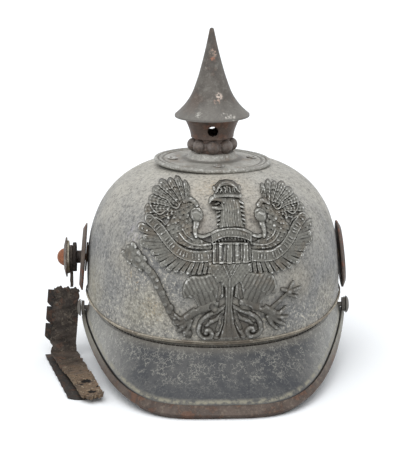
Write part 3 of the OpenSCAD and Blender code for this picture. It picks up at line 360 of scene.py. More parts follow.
def cloth(name, base, dark):
    p = Paint(name)
    strands = p.noise(1.1, 2, at=p.stretched(1, 1, 2.4))
    p.start(p.between(strands, 0.35, 0.65), dark, base)
    p.coat(p.between(p.noise(8, 3), 0.5, 0.7, 0, 0.5), dark)
    return p.done(0.9, p.bump(strands, 0.6, 0.3), specular=0.2)


spots = [((1.5, -6, 234), 4.2, (190, 164, 148)), ((0.5, -7, 229), 2.6, (166, 118, 96)),
         ((5, -15, 203), 4.0, (206, 190, 178)), ((3, -17, 199), 3.0, (186, 156, 140)),
         ((9, -22, 188.5), 4.5, (200, 194, 186)), ((-10, -21, 189), 4.0, (184, 182, 174)),
         ((14, -22, 187.5), 4.0, (190, 186, 178)), ((-4, -5, 222), 3.0, (160, 154, 144))]
paints = {
    "skull_leather": dome_leather(),
    "visor_leather": visor_leather(),
    "piping_leather": old_leather("piping_leather_worn", (176, 168, 152), (130, 120, 107), (206, 198, 182)),
    "stitch": old_leather("stitch_thread", (46, 41, 36), (30, 27, 25), (110, 102, 90)),
    "trim_metal": aged("trim_worn", (92, 79, 71), (60, 51, 46), (134, 124, 111), (108, 74, 56), 0.7,
                       gloss=0.45, lift=(12, 27, 0.97, (146, 144, 134))),
    "stud_metal": aged("stud_worn", (118, 114, 108), (84, 80, 76), (156, 152, 144), (112, 86, 68)),
    "spine_metal": aged("spine_worn", (124, 117, 108), (84, 76, 70), (160, 152, 140), (120, 88, 64)),
    # the base plate's last three tones are painted shade, painted highlight and painted glint
    "base_metal": aged("base_plate_worn", (176, 174, 167), (136, 133, 127), (206, 204, 197),
                       (148, 126, 104), 0.4, 18, 0.42, 0.25, True,
                       relief_shade_and_highlights=((104, 101, 95), (146, 145, 139), (192, 191, 185))),
    "rivet_metal": aged("rivet_bright", (186, 185, 180), (120, 116, 110), (222, 221, 217),
                        (130, 108, 88), 0.2, 6, 0.32, 0.4),
    "spike_metal": aged("spike_tarnished", (104, 99, 93), (78, 73, 69), (142, 139, 132),
                        (110, 93, 82), 0.5, 16, 0.45, lift=(203, 186, 0.5, (132, 130, 125)), chips=spots),
    "neck_metal": aged("neck_tarnished", (98, 82, 73), (68, 57, 51), (128, 113, 103), (118, 84, 68),
                       0.7, 12, 0.42),
    "pearl_metal": aged("pearls_tarnished", (120, 110, 104), (84, 76, 71), (152, 143, 136),
                        (116, 92, 78), 0.5, 7, 0.4),
    "post_metal": aged("post_dark", (70, 62, 57), (46, 41, 38), (104, 94, 86), (92, 66, 52), 0.6, 6, 0.5),
    "washer_leather": old_leather("washer_leather_dark", (52, 44, 39), (30, 26, 24), (104, 92, 80)),
    "packing_leather": old_leather("packing_leather_brown", (100, 74, 54), (60, 46, 36), (140, 116, 92)),
    "washer_paper": old_leather("washer_paper_yellowed", (196, 188, 170), (132, 118, 98), (222, 216, 202)),
    # the front plate's last three tones are painted shade, painted highlight and painted glint
    "plate_metal": aged("plate_stamped", (120, 119, 112), (92, 90, 84), (150, 149, 141),
                        (124, 110, 92), 0.4, 20, 0.38, 0.3,
                        relief_shade_and_highlights=((34, 31, 28), (170, 169, 162), (238, 238, 234)),
                        shade=(100, 68, 0.55, (72, 67, 61))),
    "fixing_brass": aged("brass_dull", (150, 124, 78), (92, 74, 48), (184, 158, 104), (84, 70, 50), 0.4,
                         6, 0.4, 0.7),
    "wedge_leather": old_leather("wedge_leather_dry", (124, 94, 62), (82, 60, 40), (160, 130, 94)),
    "cockade_metal": aged("cockade_worn", (92, 80, 72), (58, 50, 46), (134, 122, 108), (128, 78, 58),
                          0.75, 9, 0.5),
    "rosette_metal": aged("rosette_worn", (112, 104, 96), (66, 60, 55), (160, 152, 142), (118, 84, 62),
                          0.5, 8),
    "screw_metal": aged("screw_rusty", (158, 98, 66), (104, 66, 46), (188, 140, 106), (170, 92, 54), 0.8,
                        4, 0.55, 0.15),
    "strap_leather": old_leather("strap_leather_dry", (84, 75, 68), (50, 44, 40), (128, 119, 107), True,
                                 torn=True, stain=(94, 70, 58), lying=((122, 102, 82), (158, 142, 120))),
    "scale_metal": aged("scale_tarnished", (50, 46, 43), (32, 29, 27), (100, 93, 85), (92, 64, 48),
                        0.6, 8),
    "liner_leather": old_leather("liner_leather_worn", (132, 102, 70), (92, 68, 46), (168, 140, 106)),
    "string_cloth": cloth("string_cotton", (182, 168, 138), (120, 108, 86)),
}


# Meshes

def quads(m, n, wrap, start=0, flip=False):
    i, j = np.meshgrid(np.arange(m - 1), np.arange(n if wrap else n - 1), indexing="ij")
    a, b = i * n + j, i * n + (j + 1) % n
    faces = np.stack([a, b, b + n, a + n], -1).reshape(-1, 4) + start
    return faces[:, ::-1] if flip else faces


def shell(outer, inner, wrap=False):
    """Closed sheet between two grids of the same size."""
    m, n = outer.shape[:2]
    size = m * n
    faces = [quads(m, n, wrap), quads(m, n, wrap, size, True)]
    j = np.arange(n if wrap else n - 1)
    k = (j + 1) % n
    for row, turn in ((0, 1), ((m - 1) * n, -1)):
        faces.append(np.stack([row + j, row + size + j, row + size + k, row + k], -1)[:, ::turn])
    if not wrap:
        i = np.arange(m - 1) * n
        for column, turn in ((0, -1), (n - 1, 1)):
            k = i + column
            faces.append(np.stack([k, k + size, k + n + size, k + n], -1)[:, ::turn])
    return np.concatenate([outer.reshape(-1, 3), inner.reshape(-1, 3)]), np.concatenate(faces)


def bar(rows):
    """Bar through rings of points, capped at both ends."""
    n, m = rows.shape[:2]
    faces = [list(f) for f in quads(n, m, True)]
    faces.append(list(range(m))[::-1])
    faces.append(list(range((n - 1) * m, n * m)))
    return rows.reshape(-1, 3), faces


def loop(rows):
    """Bar through rings of points that closes on itself."""
    n, m = rows.shape[:2]
    faces = quads(n + 1, m, True)
    return rows.reshape(-1, 3), np.where(faces >= n * m, faces - n * m, faces)


def tube(path, radius, sides=12, closed=False):
    """Round bar along a path, its radius a number or one for each point."""
    path = np.asarray(path, float)
    radius = np.broadcast_to(radius, len(path))
    if closed:
        along = np.roll(path, -1, 0) - np.roll(path, 1, 0)
    else:
        along = np.gradient(path, axis=0)
    along /= np.linalg.norm(along, axis=1)[:, None]
    side = np.cross(along, (0, 0, 1.0))
    side[np.linalg.norm(side, axis=1) < 1e-3] = (1, 0, 0)
    side /= np.linalg.norm(side, axis=1)[:, None]
    over = np.cross(side, along)
    a = np.arange(sides) * 2 * np.pi / sides
    ring = np.cos(a)[None, :, None] * side[:, None] + np.sin(a)[None, :, None] * over[:, None]
    points = path[:, None] + radius[:, None, None] * ring
    return loop(points) if closed else bar(points)


def lathe(profile, sides=160, wobble=None):
    """Ring or disc about Z from a closed profile of (radius, height)."""
    profile = np.asarray(profile, float)
    a = np.arange(sides) * 2 * np.pi / sides
    r, z = profile[:, 0][:, None], profile[:, 1][:, None]
    if wobble is not None:
        r = r * (1 + wobble(a)[None, :] * (r / r.max()) ** 4)
    return loop(np.stack([r * np.cos(a), r * np.sin(a), z + 0 * a], -1))


def joined(*parts):
    points, faces, start = [], [], 0
    for some, these in parts:
        points.append(np.asarray(some))
        faces.extend([[int(v) + start for v in f] for f in these])
        start += len(some)
    return np.concatenate(points), faces


def waves(points, size, seed, count=6):
    """Smooth seeded noise of about one size, between -1 and 1."""
    local = np.random.default_rng(seed)
    total = 0
    for _ in range(count):
        way = local.normal(size=3)
        way *= 2 * np.pi / size / np.linalg.norm(way) * local.uniform(0.6, 1.4)
        total = total + np.sin(points @ way + local.uniform(0, 7))
    return total / count * 1.4


def soften(owner, width, angle):
    bevel = owner.modifiers.new("soften", "BEVEL")
    bevel.width, bevel.segments = width * MM, 2
    bevel.limit_method, bevel.angle_limit = "ANGLE", math.radians(angle)


def piece(name, made, paint, replaces=(), sharp=40, bevel=0.0, attributes=None, body="helmet"):
    """Make an object of points and faces, with its finish, and say what it rides on and replaces."""
    points, faces = made
    mesh = bpy.data.meshes.new(name)
    mesh.from_pydata((np.asarray(points) * MM).tolist(), [], [[int(v) for v in f] for f in faces])
    work = bmesh.new()
    work.from_mesh(mesh)
    bmesh.ops.recalc_face_normals(work, faces=work.faces[:])
    work.to_mesh(mesh)
    work.free()
    mesh.polygons.foreach_set("use_smooth", [True] * len(mesh.polygons))
    if sharp:
        mesh.set_sharp_from_angle(angle=math.radians(sharp))
    rest = mesh.attributes.new("rest", "FLOAT_VECTOR", "POINT")
    rest.data.foreach_set("vector", np.asarray(points, float).ravel())
    for key, values in (attributes or {}).items():
        mesh.attributes.new(key, "FLOAT", "POINT").data.foreach_set("value", np.asarray(values, float).ravel())
    mesh.materials.append(paints[paint])
    made_object = bpy.data.objects.new(name, mesh)
    scene.collection.objects.link(made_object)
    if bevel:
        soften(made_object, bevel, 50)
    if body:
        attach(made_object, body)
    if replaces:
        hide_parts(*replaces)
    return made_object


# Skull, on the same form as the CAD

HALF_X, HALF_Y, SHOULDER, RISE = 95.5, 118.0, 58.5, 93.0
# Powers that round the dome in plan and in height, and the seam's height and its rise at the sides
ROUND, CLIMB = 0.64, 0.73
SEAM_Z, SEAM_RISE = 45, 8


def shrink(t):
    return np.cos(t) ** ROUND


def climb(t):
    return np.sin(t) ** CLIMB


def plan(p, z, off=0.0, share=1.0):
    """Points round the skull at heights z, moved out by off."""
    x, y = (HALF_X + off) * share * np.sin(p), -(HALF_Y + off) * share * np.cos(p)
    return np.stack(np.broadcast_arrays(x, y, z), -1)


def dome(p, t, off=0.0):
    return plan(p, SHOULDER + (RISE + off) * climb(t), off, shrink(t))


def edge_z(p):
    return SEAM_Z + SEAM_RISE * np.abs(np.sin(p)) ** 6


def share_at(z, off=0.0):
    return shrink(np.arcsin(np.clip(np.maximum(z - SHOULDER, 0) / (RISE + off), 0, 1) ** (1 / CLIMB)))


def face_y(x, z, off=0.0):
    share = share_at(z, off)
    return (HALF_Y + off) * share * np.sqrt(np.clip(1 - (x / ((HALF_X + off) * share)) ** 2, 0, 1))


def skull():
    n, low, high = 400, 8, 150
    p = np.arange(n) * 2 * np.pi / n
    reach = np.sqrt((HALF_X * np.sin(p)) ** 2 + (HALF_Y * np.cos(p)) ** 2)
    stop = np.arccos((13 / reach) ** (1 / ROUND))
    steps = 1 - (1 - np.linspace(0, 1, high)) ** 1.8

    def wall(off):
        bottom = np.linspace(0, 1, low, endpoint=False)[:, None]
        upright = plan(p, edge_z(p)[None] + bottom * (SHOULDER - edge_z(p)[None]), off)
        return np.concatenate([upright, dome(p[None], steps[:, None] * stop[None], off)])

    outer, inner = wall(0.0), wall(-3.0)
    out = outer - inner
    out /= np.linalg.norm(out, axis=-1)[..., None]
    dent = -0.22 + 0.2 * waves(outer, 60, 3) + 0.07 * waves(outer, 11, 4)
    outer = outer + out * np.clip(dent, -0.6, 0)[..., None]
    return shell(outer, inner, True)


piece("skull_leather_dome", skull(), "skull_leather", ["skull_shell"])

# Visors

# Plane between the two visors, place of their corners, and share of a visor's rows tucked inside the skull
SPLIT_Y = -HALF_Y * math.cos(math.radians(88))
CORNER_X, CORNER_Z = 99.2, 34
TUCK = 0.125
LEATHER = 2.8
# Reach in front of the axis or behind it, squareness in plan, and lift above the table
FRONT_FORM, REAR_FORM = (-155.5, 3.7, 3.2), (164, 2.6, 2.2)


def visor_edge(u, front):
    reach, square, lift = FRONT_FORM if front else REAR_FORM
    s = np.sin(np.pi / 2 * u)
    run = 1 - np.abs(s) ** square
    y = SPLIT_Y + (reach - SPLIT_Y) * run
    return np.stack([CORNER_X * s, y, lift + (CORNER_Z - lift) * (1 - run ** 0.55)], -1)


def visor_base(u, w, front):
    u, w = np.broadcast_arrays(u, w)
    p = np.radians(u * 88) if front else np.radians(180 - u * 91.4)
    root = plan(p, edge_z(p) - 1.5, -3.4)
    edge = visor_edge(u, front)
    bend = root + 0.3 * (edge - root) - np.array([0, 0, 5.0])
    v = np.clip((w - TUCK) / (1 - TUCK), 0, 1)[..., None]
    face = (1 - v) ** 2 * root + 2 * v * (1 - v) * bend + v * v * edge
    tuck = root + np.stack([0 * w, 0 * w, 7.5 * (1 - 8 * w)], -1)
    return np.where((w < TUCK)[..., None], tuck, face)


def visor_length(u, front):
    """Length of the visor's face from the seam to its edge."""
    return np.linalg.norm(visor_edge(u, front) - visor_base(u, TUCK, front), axis=-1)


def unit(a):
    return a / (np.linalg.norm(a, axis=-1)[..., None] + 1e-9)


def visor_down(u, w, front):
    low, high = np.maximum(w - 0.03, 0), np.minimum(w + 0.03, 1)
    return unit(visor_base(u, high, front) - visor_base(u, low, front))


def visor_normal(u, w, front):
    across = unit(visor_base(np.minimum(u + 0.02, 1), w, front) - visor_base(np.maximum(u - 0.02, -1), w, front))
    normal = np.cross(across, visor_down(u, w, front))
    return unit(-normal if front else normal)


def visor_point(u, w, front, off):
    return visor_base(u, w, front) + np.asarray(off)[..., None] * visor_normal(u, w, front)


def visor(front):
    ease = np.linspace(-1, 1, 260)
    u = (0.55 * ease + 0.45 * np.sin(ease * np.pi / 2))[None]
    w = np.linspace(0, 1, 84)[:, None]
    outer = visor_point(u, w, front, 0 * u * w)
    inner = visor_point(u, w, front, -LEATHER + 0 * u * w)
    normal = unit(outer - inner)
    ripple = -0.12 + 0.12 * waves(outer, 34, 5) + 0.05 * waves(outer, 7, 6)
    outer = outer + normal * np.clip(ripple, -0.5, 0)[..., None]
    limit = SPLIT_Y - 0.1 if front else SPLIT_Y + 0.1
    for side in (outer, inner):
        side[..., 1] = np.minimum(side[..., 1], limit) if front else np.maximum(side[..., 1], limit)
        side[..., 2] = np.maximum(side[..., 2], 0.3)
    length = visor_length(u, front) / (1 - TUCK)
    edge = (1 - w) * length
    root = np.maximum(w - TUCK, 0) * length
    made = shell(outer, inner)
    return made, {"edge": np.concatenate([edge.ravel()] * 2), "root": np.concatenate([root.ravel()] * 2)}


for front, name in ((True, "front_visor"), (False, "rear_visor")):
    made, attributes = visor(front)
    piece(name + "_leather", made, "visor_leather", [name], 40, 0.7, attributes)

# Bead and stitches along the seam

p = np.arange(720) * 2 * np.pi / 720
beads = [tube(plan(p, edge_z(p) - 0.1, 0.65), 0.66 + 0.07 * np.sin(p * 61) * np.sin(p * 7), 12, True),
         tube(plan(p, edge_z(p) - 1.7, -0.7), 0.7, 10, True)]
piece("seam_bead", joined(*beads), "piping_leather", ["seam_piping"], 0)
stitches = []
for front in (True, False):
    reach = 46 if front else 50
    for i in range(-reach, reach + 1):
        u, w = np.array(i / reach * (0.955 if front else 0.97)), np.array(TUCK + 3 / 40)
        centre, normal = visor_point(u, w, front, np.array(-0.05)), visor_normal(u, w, front)
        across = unit(visor_base(u + 0.002, w, front) - visor_base(u - 0.002, w, front))
        half = np.linspace(-1.15, 1.15, 7)
        bow = np.sqrt(np.clip(1 - (half / 1.25) ** 2, 0, 1))
        path = centre + half[:, None] * across + (0.3 * bow)[:, None] * normal
        stitches.append(tube(path, 0.34 + 0.1 * bow, 6))
piece("seam_stitches", joined(*stitches), "stitch", sharp=0)

# Trim of the front visor: a folded strip, standing a little off the leather at the bottom, and its two ears

STUD_Y, STUD_Z = -8.45, 40.5


def at_corner(profile, sides, side, x):
    """Turned ring at the stud of one of the visor's corners."""
    points, faces = lathe(profile, sides)
    out, flat, rise = points[:, 2], points[:, 0], points[:, 1]
    return np.stack([side * (x + out), STUD_Y + flat, STUD_Z + rise], -1), faces


def trim():
    ease = np.linspace(-1, 1, 300)
    u = 0.978 * (0.6 * ease + 0.4 * np.sin(ease * np.pi / 2))
    length = visor_length(u, True)
    stand = 1.3 * np.exp(-(((u + 0.22) / 0.42) ** 2)) + 0.2 * np.abs(np.sin(u * 9))
    # way past the visor's edge and way out from its upper face
    section = [(-4.9, 0.3), (-5.3, 0.45), (-5.4, 0.9), (-5.1, 1.25), (-4.6, 1.12), (-3.6, 1.0), (-2.3, 1.0),
               (-1.0, 1.0), (0.0, 1.0), (0.55, 0.85), (0.9, 0.5), (1.0, 0.0), (1.0, -1.4), (1.0, -2.8),
               (0.9, -3.3), (0.5, -3.65), (0.0, -3.8), (-2.0, -3.8), (-4.0, -3.8), (-4.0, -3.1), (-2.0, -3.1),
               (0.0, -3.1), (0.3, -2.8), (0.3, -1.4), (0.3, 0.0), (0.0, 0.3), (-1.0, 0.3), (-2.3, 0.3),
               (-3.6, 0.3)]
    rows = []
    for d, off in section:
        lift = off + stand * min(max(-d / 5, 0), 1) * (off > 0)
        if d < 0:
            rows.append(visor_point(u, 1 + d * (1 - TUCK) / length, True, lift))
        else:
            rows.append(visor_edge(u, True) + d * visor_down(u, np.ones_like(u), True)
                        + np.broadcast_to(lift, u.shape)[:, None] * visor_normal(u, np.ones_like(u), True))
    rows = np.stack(rows, 1)
    rows[..., 2] = np.maximum(rows[..., 2], 0.15)
    ear = [(2.2, 0), (5.6, 0), (6.0, 0.2), (6.0, 0.5), (5.6, 0.7), (2.2, 0.7)]
    return joined(bar(rows), *(at_corner(ear, 64, side, 99.3) for side in (-1, 1)))


piece("visor_trim", trim(), "trim_metal", ["front_visor_trim"], 50)

# Front plate: a stamped sheet, its relief drawn in the plane seen from the front

# The plate's middle lies a little off the helmet's
EAGLE_X = 5


def near(X, Z, line):
    """Distance to a line of points and how far along it the nearest point lies, from 0 to 1."""
    best, along, done = np.full(X.shape, 1e9), np.zeros(X.shape), 0.0
    steps = [math.dist(a, b) for a, b in zip(line, line[1:])]
    total = sum(steps)
    for (ax, az), (bx, bz), step in zip(line, line[1:], steps):
        t = np.clip(((X - ax) * (bx - ax) + (Z - az) * (bz - az)) / (step * step + 1e-9), 0, 1)
        d = np.hypot(X - ax - t * (bx - ax), Z - az - t * (bz - az))
        best, along = np.where(d < best, d, best), np.where(d < best, (done + t * step) / total, along)
        done += step
    return best, along


def smooth_line(line, steps=4):
    """Catmull-Rom curve through the points."""
    q = np.array([line[0], *line, line[-1]], float)
    out = []
    for i in range(1, len(q) - 2):
        for t in np.arange(steps) / steps:
            a, b, c, d = q[i - 1:i + 3]
            out.append(tuple(0.5 * (2 * b + (c - a) * t + (2 * a - 5 * b + 4 * c - d) * t * t
                                    + (3 * b - a - 3 * c + d) * t ** 3)))
    return out + [tuple(q[-2])]


def slope(f, width):
    """Rounded rise from the outline over a width, from 0 to 1."""
    return np.clip(f / width, 0, 1) ** 0.5


def bell(d, width):
    return np.exp(-((d / width) ** 2))


def inside(X, Z, line):
    """Distance inside a closed outline, negative outside it."""
    line = list(line)
    d, _ = near(X, Z, line + line[:1])
    odd = np.zeros(X.shape, bool)
    for (ax, az), (bx, bz) in zip(line, line[1:] + line[:1]):
        if az != bz:
            odd ^= ((az > Z) != (bz > Z)) & (X < (bx - ax) * (Z - az) / (bz - az) + ax)
    return np.where(odd, d, -d)


class Stamp:
    """Sheet outline F, positive on the metal, and relief H in millimetres."""

    def __init__(self, X, Z):
        self.X, self.Z = X, Z
        self.F = np.full(X.shape, -50.0)
        self.H = np.zeros(X.shape)

    def add(self, f, h):
        self.H = np.where(f > 0, np.where(self.F > 0, np.maximum(self.H, h), h), self.H)
        self.F = np.maximum(self.F, f)

    def over(self, f, h):
        self.H = np.where(f > 0, h, self.H)
        self.F = np.maximum(self.F, f)

    def area(self, line, h, soft=1.5):
        f = inside(self.X, self.Z, line)
        self.add(f, h * slope(f, soft))

    def ridge(self, line, w0, w1, h):
        line = smooth_line(line) if len(line) > 2 else line
        d, t = near(self.X, self.Z, line)
        w = w0 + (w1 - w0) * t
        self.add(w - d, h * slope(1 - (d / w) ** 2, 1))

    def knob(self, x, z, r, h):
        self.ridge([(x, z), (x + 0.02, z)], r, r, h)

    def cut(self, line, w0, w1):
        d, t = near(self.X, self.Z, line)
        self.F = np.minimum(self.F, d - (w0 + (w1 - w0) * t))

    def groove(self, line, w, h):
        line = smooth_line(line) if len(line) > 2 else line
        d, _ = near(self.X, self.Z, line)
        self.H = self.H - h * np.clip(1 - (d / w) ** 2, 0, 1)

    def feather(self, root, tip, w0, w1, h, shaft):
        d, t = near(self.X, self.Z, [root, tip])
        w = w0 + (w1 - w0) * t
        q = np.clip(d / w, 0, 1)
        body = h * (1 - q ** 4) ** 0.5 * (0.85 + 0.15 * np.cos(2 * np.pi * q))
        self.add(w - d, body - shaft * bell(d, 0.4) * (t < 0.96))


def wing(stamp, X, Z):
    """A wing in the coordinates of the image's left one."""
    k = Stamp(X, Z)
    k.feather((-46, 116.5), (-56.5, 119.2), 2.8, 3.4, 1.7, 0.7)
    k.feather((-46, 108), (-56.2, 108.8), 2.8, 3.4, 1.6, 0.7)
    # long feathers in a fan, wide and close together
    r = np.hypot(X + 26, Z - 131)
    a = np.degrees(np.arctan2(Z - 131, X + 26)) % 360 - 0.6 * (r - 18)
    g = np.clip((a - 72) / 124, -0.2, 1.2)
    q = g * 8
    i, f = np.floor(q), q - np.floor(q) - 0.5
    tip = 17.8 + 12.2 * np.clip(g, 0, 1) ** 1.1 - 2.4 * np.abs(2 * f) ** 2.5 + 0.7 * np.sin(i * 2.3)
    fan = np.minimum(tip - r, np.minimum(g, 1 - g) * r * 1.9)
    blade = 0.55 + 0.6 * np.clip(0.5 + f, 0, 1) ** 1.5 + 0.2 * np.cos(2 * np.pi * 3 * f)
    blade = blade + 0.14 * np.sin(2.6 * r + 7 * np.abs(f))
    blade = blade - 0.5 * bell(np.abs(f) - 0.5, 0.06)
    for ring in (7.5, 15.5):
        blade = blade + 0.5 * bell(r - ring - 0.5 * g * 11 + 1.3 * np.abs(2 * f) ** 2, 0.6)
    k.add(fan, blade * slope(tip - r, 0.9))
    # coverts
    cover = inside(X, Z, [(-19, 138), (-27, 138), (-33, 134), (-36, 127.5), (-41, 121), (-37, 112.5), (-24, 108),
                          (-8, 107), (-8, 111.8), (-14, 113.2), (-20, 117.5), (-18, 125), (-17, 132)])
    u = (X + 26) * 0.92 + (Z - 131) * 0.38
    v = -(X + 26) * 0.38 + (Z - 131) * 0.92
    row = np.floor(v / 3.0)
    uu, vv = (u / 3.6 + 0.5 * (row % 2)) % 1 - 0.5, v / 3.0 - row
    scales = 0.55 * np.clip(1 - (2 * uu) ** 2 - 0.4 * vv ** 2, 0, 1) ** 0.5 * (0.3 + 0.7 * (1 - vv))
    k.add(cover, (0.75 + scales + 0.2 * np.sin(X * 1.3) * np.sin(Z * 1.1)) * slope(cover, 0.8))
    # fringe below the ribbon
    for n, (root, tip, w) in enumerate((
        ((-43, 116.5), (-53.5, 118.2), 2.8), ((-42, 113), (-54.5, 113), 2.7), ((-40, 110), (-54, 107.6), 2.9),
        ((-38, 107), (-49.8, 103.4), 2.6), ((-36, 105), (-47, 99.2), 2.6), ((-33, 103.5), (-43.5, 95.6), 2.5),
        ((-30, 102), (-38.7, 93.2), 2.3), ((-27, 101), (-34, 92.6), 2.1), ((-24, 100.5), (-29.3, 92.2), 2.0),
        ((-21, 100), (-25, 92), 1.95), ((-18, 100), (-21, 92), 1.9), ((-15, 100), (-17, 92.2), 1.9),
        ((-12, 100.2), (-13.2, 92.6), 1.8), ((-9, 100.2), (-9.6, 93), 1.7))):
        k.feather(root, tip, w * 0.72, w * 0.86, 1.9 + 0.35 * (n % 2), 0.8)
    k.area([(-46, 120), (-55, 116), (-52.5, 106), (-45, 98), (-34, 94.5), (-9, 94.5), (-9, 103), (-30, 104)], 0.3)
    # ribbon
    line = smooth_line([(-50.8, 125.8), (-47.6, 123), (-43.8, 118.8), (-39.8, 113.3), (-35, 108.3), (-30, 105.2),
                        (-24, 103.5), (-16, 103.2), (-7.5, 104.2)])
    d, t = near(X, Z, line)
    ticks = 0.45 * (d < 1.8) * (np.sin(t * 150) > 0.1) * (np.sin(t * 61 + 1) > -0.6)
    band = 1.55 + 0.55 * bell(d - 3.3, 0.4) + 0.25 * bell(d - 2.3, 0.35) + ticks
    k.over(3.9 - d, band * slope(3.9 - d, 0.5))
    k.ridge([(-31, 118), (-27.5, 114), (-22.5, 111.4), (-17, 110.8), (-9, 111.4)], 0.9, 0.8, 1.7)
    k.ridge([(-29, 121), (-26, 116.6), (-22, 114.4)], 0.7, 0.6, 1.7)
    for x, z, size in ((-38.3, 128, 1.4), (-30, 128.5, 1.8), (-28.3, 123.5, 1.9), (-25.8, 126.2, 1.3),
                       (-33.5, 125, 1.3), (-35.5, 130.5, 1.1), (-24.5, 130, 1.2), (-33, 121, 1.2)):
        k.knob(x, z, size, 1.7)
    k.ridge([(-49.5, 136.3), (-48.4, 133), (-46, 130.8), (-43.5, 129.8), (-40.5, 131.6)], 0.7, 0.5, 2.0)
    k.ridge([(-53, 126.8), (-47.5, 127.6), (-43.5, 126), (-40.5, 122.8)], 0.7, 0.5, 2.0)
    k.ridge([(-36.5, 138), (-34.4, 135), (-31, 134.6), (-29, 137.4)], 0.6, 0.5, 1.9)
    # shoulder scroll with its stem and hook
    k.ridge([(-26, 138.4), (-21.5, 139.6), (-17.8, 136.5)], 1.3, 1.8, 1.8)
    k.ridge([(-19.3, 132), (-18.9, 126), (-20.3, 120.5), (-19.6, 116.6)], 3.2, 1.5, 2.9)
    k.knob(-18.4, 130.4, 4.8, 4.2)
    k.ridge([(-19.8, 117.4), (-15, 116.2), (-9.5, 117.8)], 1.5, 1.1, 2.2)
    k.groove([(-21, 133), (-18.2, 134), (-15.2, 132.2)], 0.6, 0.8)
    stamp.add(k.F, k.H)


def haunch(stamp, X, Z):
    """Thigh, leg, claws and volute in the coordinates of the image's left side."""
    k = Stamp(X, Z)
    line = [(1, 93), (-8, 92.5), (-15, 90.8), (-22, 90.3), (-26.5, 86.5), (-28.6, 80), (-27.6, 74), (-23.5, 74.8),
            (-19, 68.6), (-10, 69.5), (-5, 72), (1.5, 76)]
    e = inside(X, Z, line)
    u = (X + 12) * 0.86 + (Z - 82) * 0.5
    v = (X + 12) * 0.93 + (Z - 74) * 0.36
    rows = np.where(Z - 79.5 - 0.25 * (X + 14) > 0, 0.7 * np.abs(np.sin(u * 1.1)) ** 0.5,
                    0.8 * np.abs(np.sin(v * 0.85)) ** 0.5)
    swell = 2.0 * np.exp(-(((X + 15) / 11) ** 2 + ((Z - 83) / 8) ** 2))
    k.add(e, slope(e, 1) * (0.8 + swell + rows))
    k.ridge([(-7, 91.5), (-15, 89.8), (-21.8, 89.2), (-25.8, 85.8), (-27.6, 80), (-26.6, 75.2)], 1.1, 1.0, 2.0)
    # low ground behind the volute
    k.area([(4, 72), (-8, 65.5), (-14.6, 60), (-17.4, 53), (-16, 46.5), (6, 46.5), (6, 72)], 0.45, 0.8)
    k.ridge([(-5, 71.8), (-10, 69.4), (-18, 66), (-25, 60.5)], 3.3, 3.0, 2.6)
    for path, w in ((((-24, 61.5), (-29, 59), (-33.5, 61.8)), 2.6), (((-24, 60.5), (-29.5, 56), (-34, 54.6)), 2.5),
                    (((-23, 59.5), (-27.5, 53.5), (-31.4, 49.4)), 2.4), (((-22, 59), (-24, 52.5), (-27, 47.6)), 2.2)):
        k.ridge(path, w, 1.3, 2.1)
    k.ridge([(3.5, 70.5), (-2.5, 67), (-8.5, 64.2), (-13.8, 60), (-16.2, 54.5), (-16, 49.8), (-12.8, 46.9),
             (-8.6, 47.4), (-7, 50.4), (-8.8, 52.9), (-11.4, 52.4)], 1.6, 2.1, 2.5)
    k.knob(-11.3, 51.4, 2.3, 2.6)
    k.ridge([(1.5, 67), (-3, 61.5), (-7.6, 59.2), (-10.6, 57.2)], 1.4, 1.9, 2.1)
    k.ridge([(3.6, 67), (0.8, 58.5), (-2.8, 51.5), (-5, 48)], 1.3, 1.8, 2.0)
    k.knob(-4.4, 47.9, 2.3, 2.2)
    stamp.add(k.F, k.H)


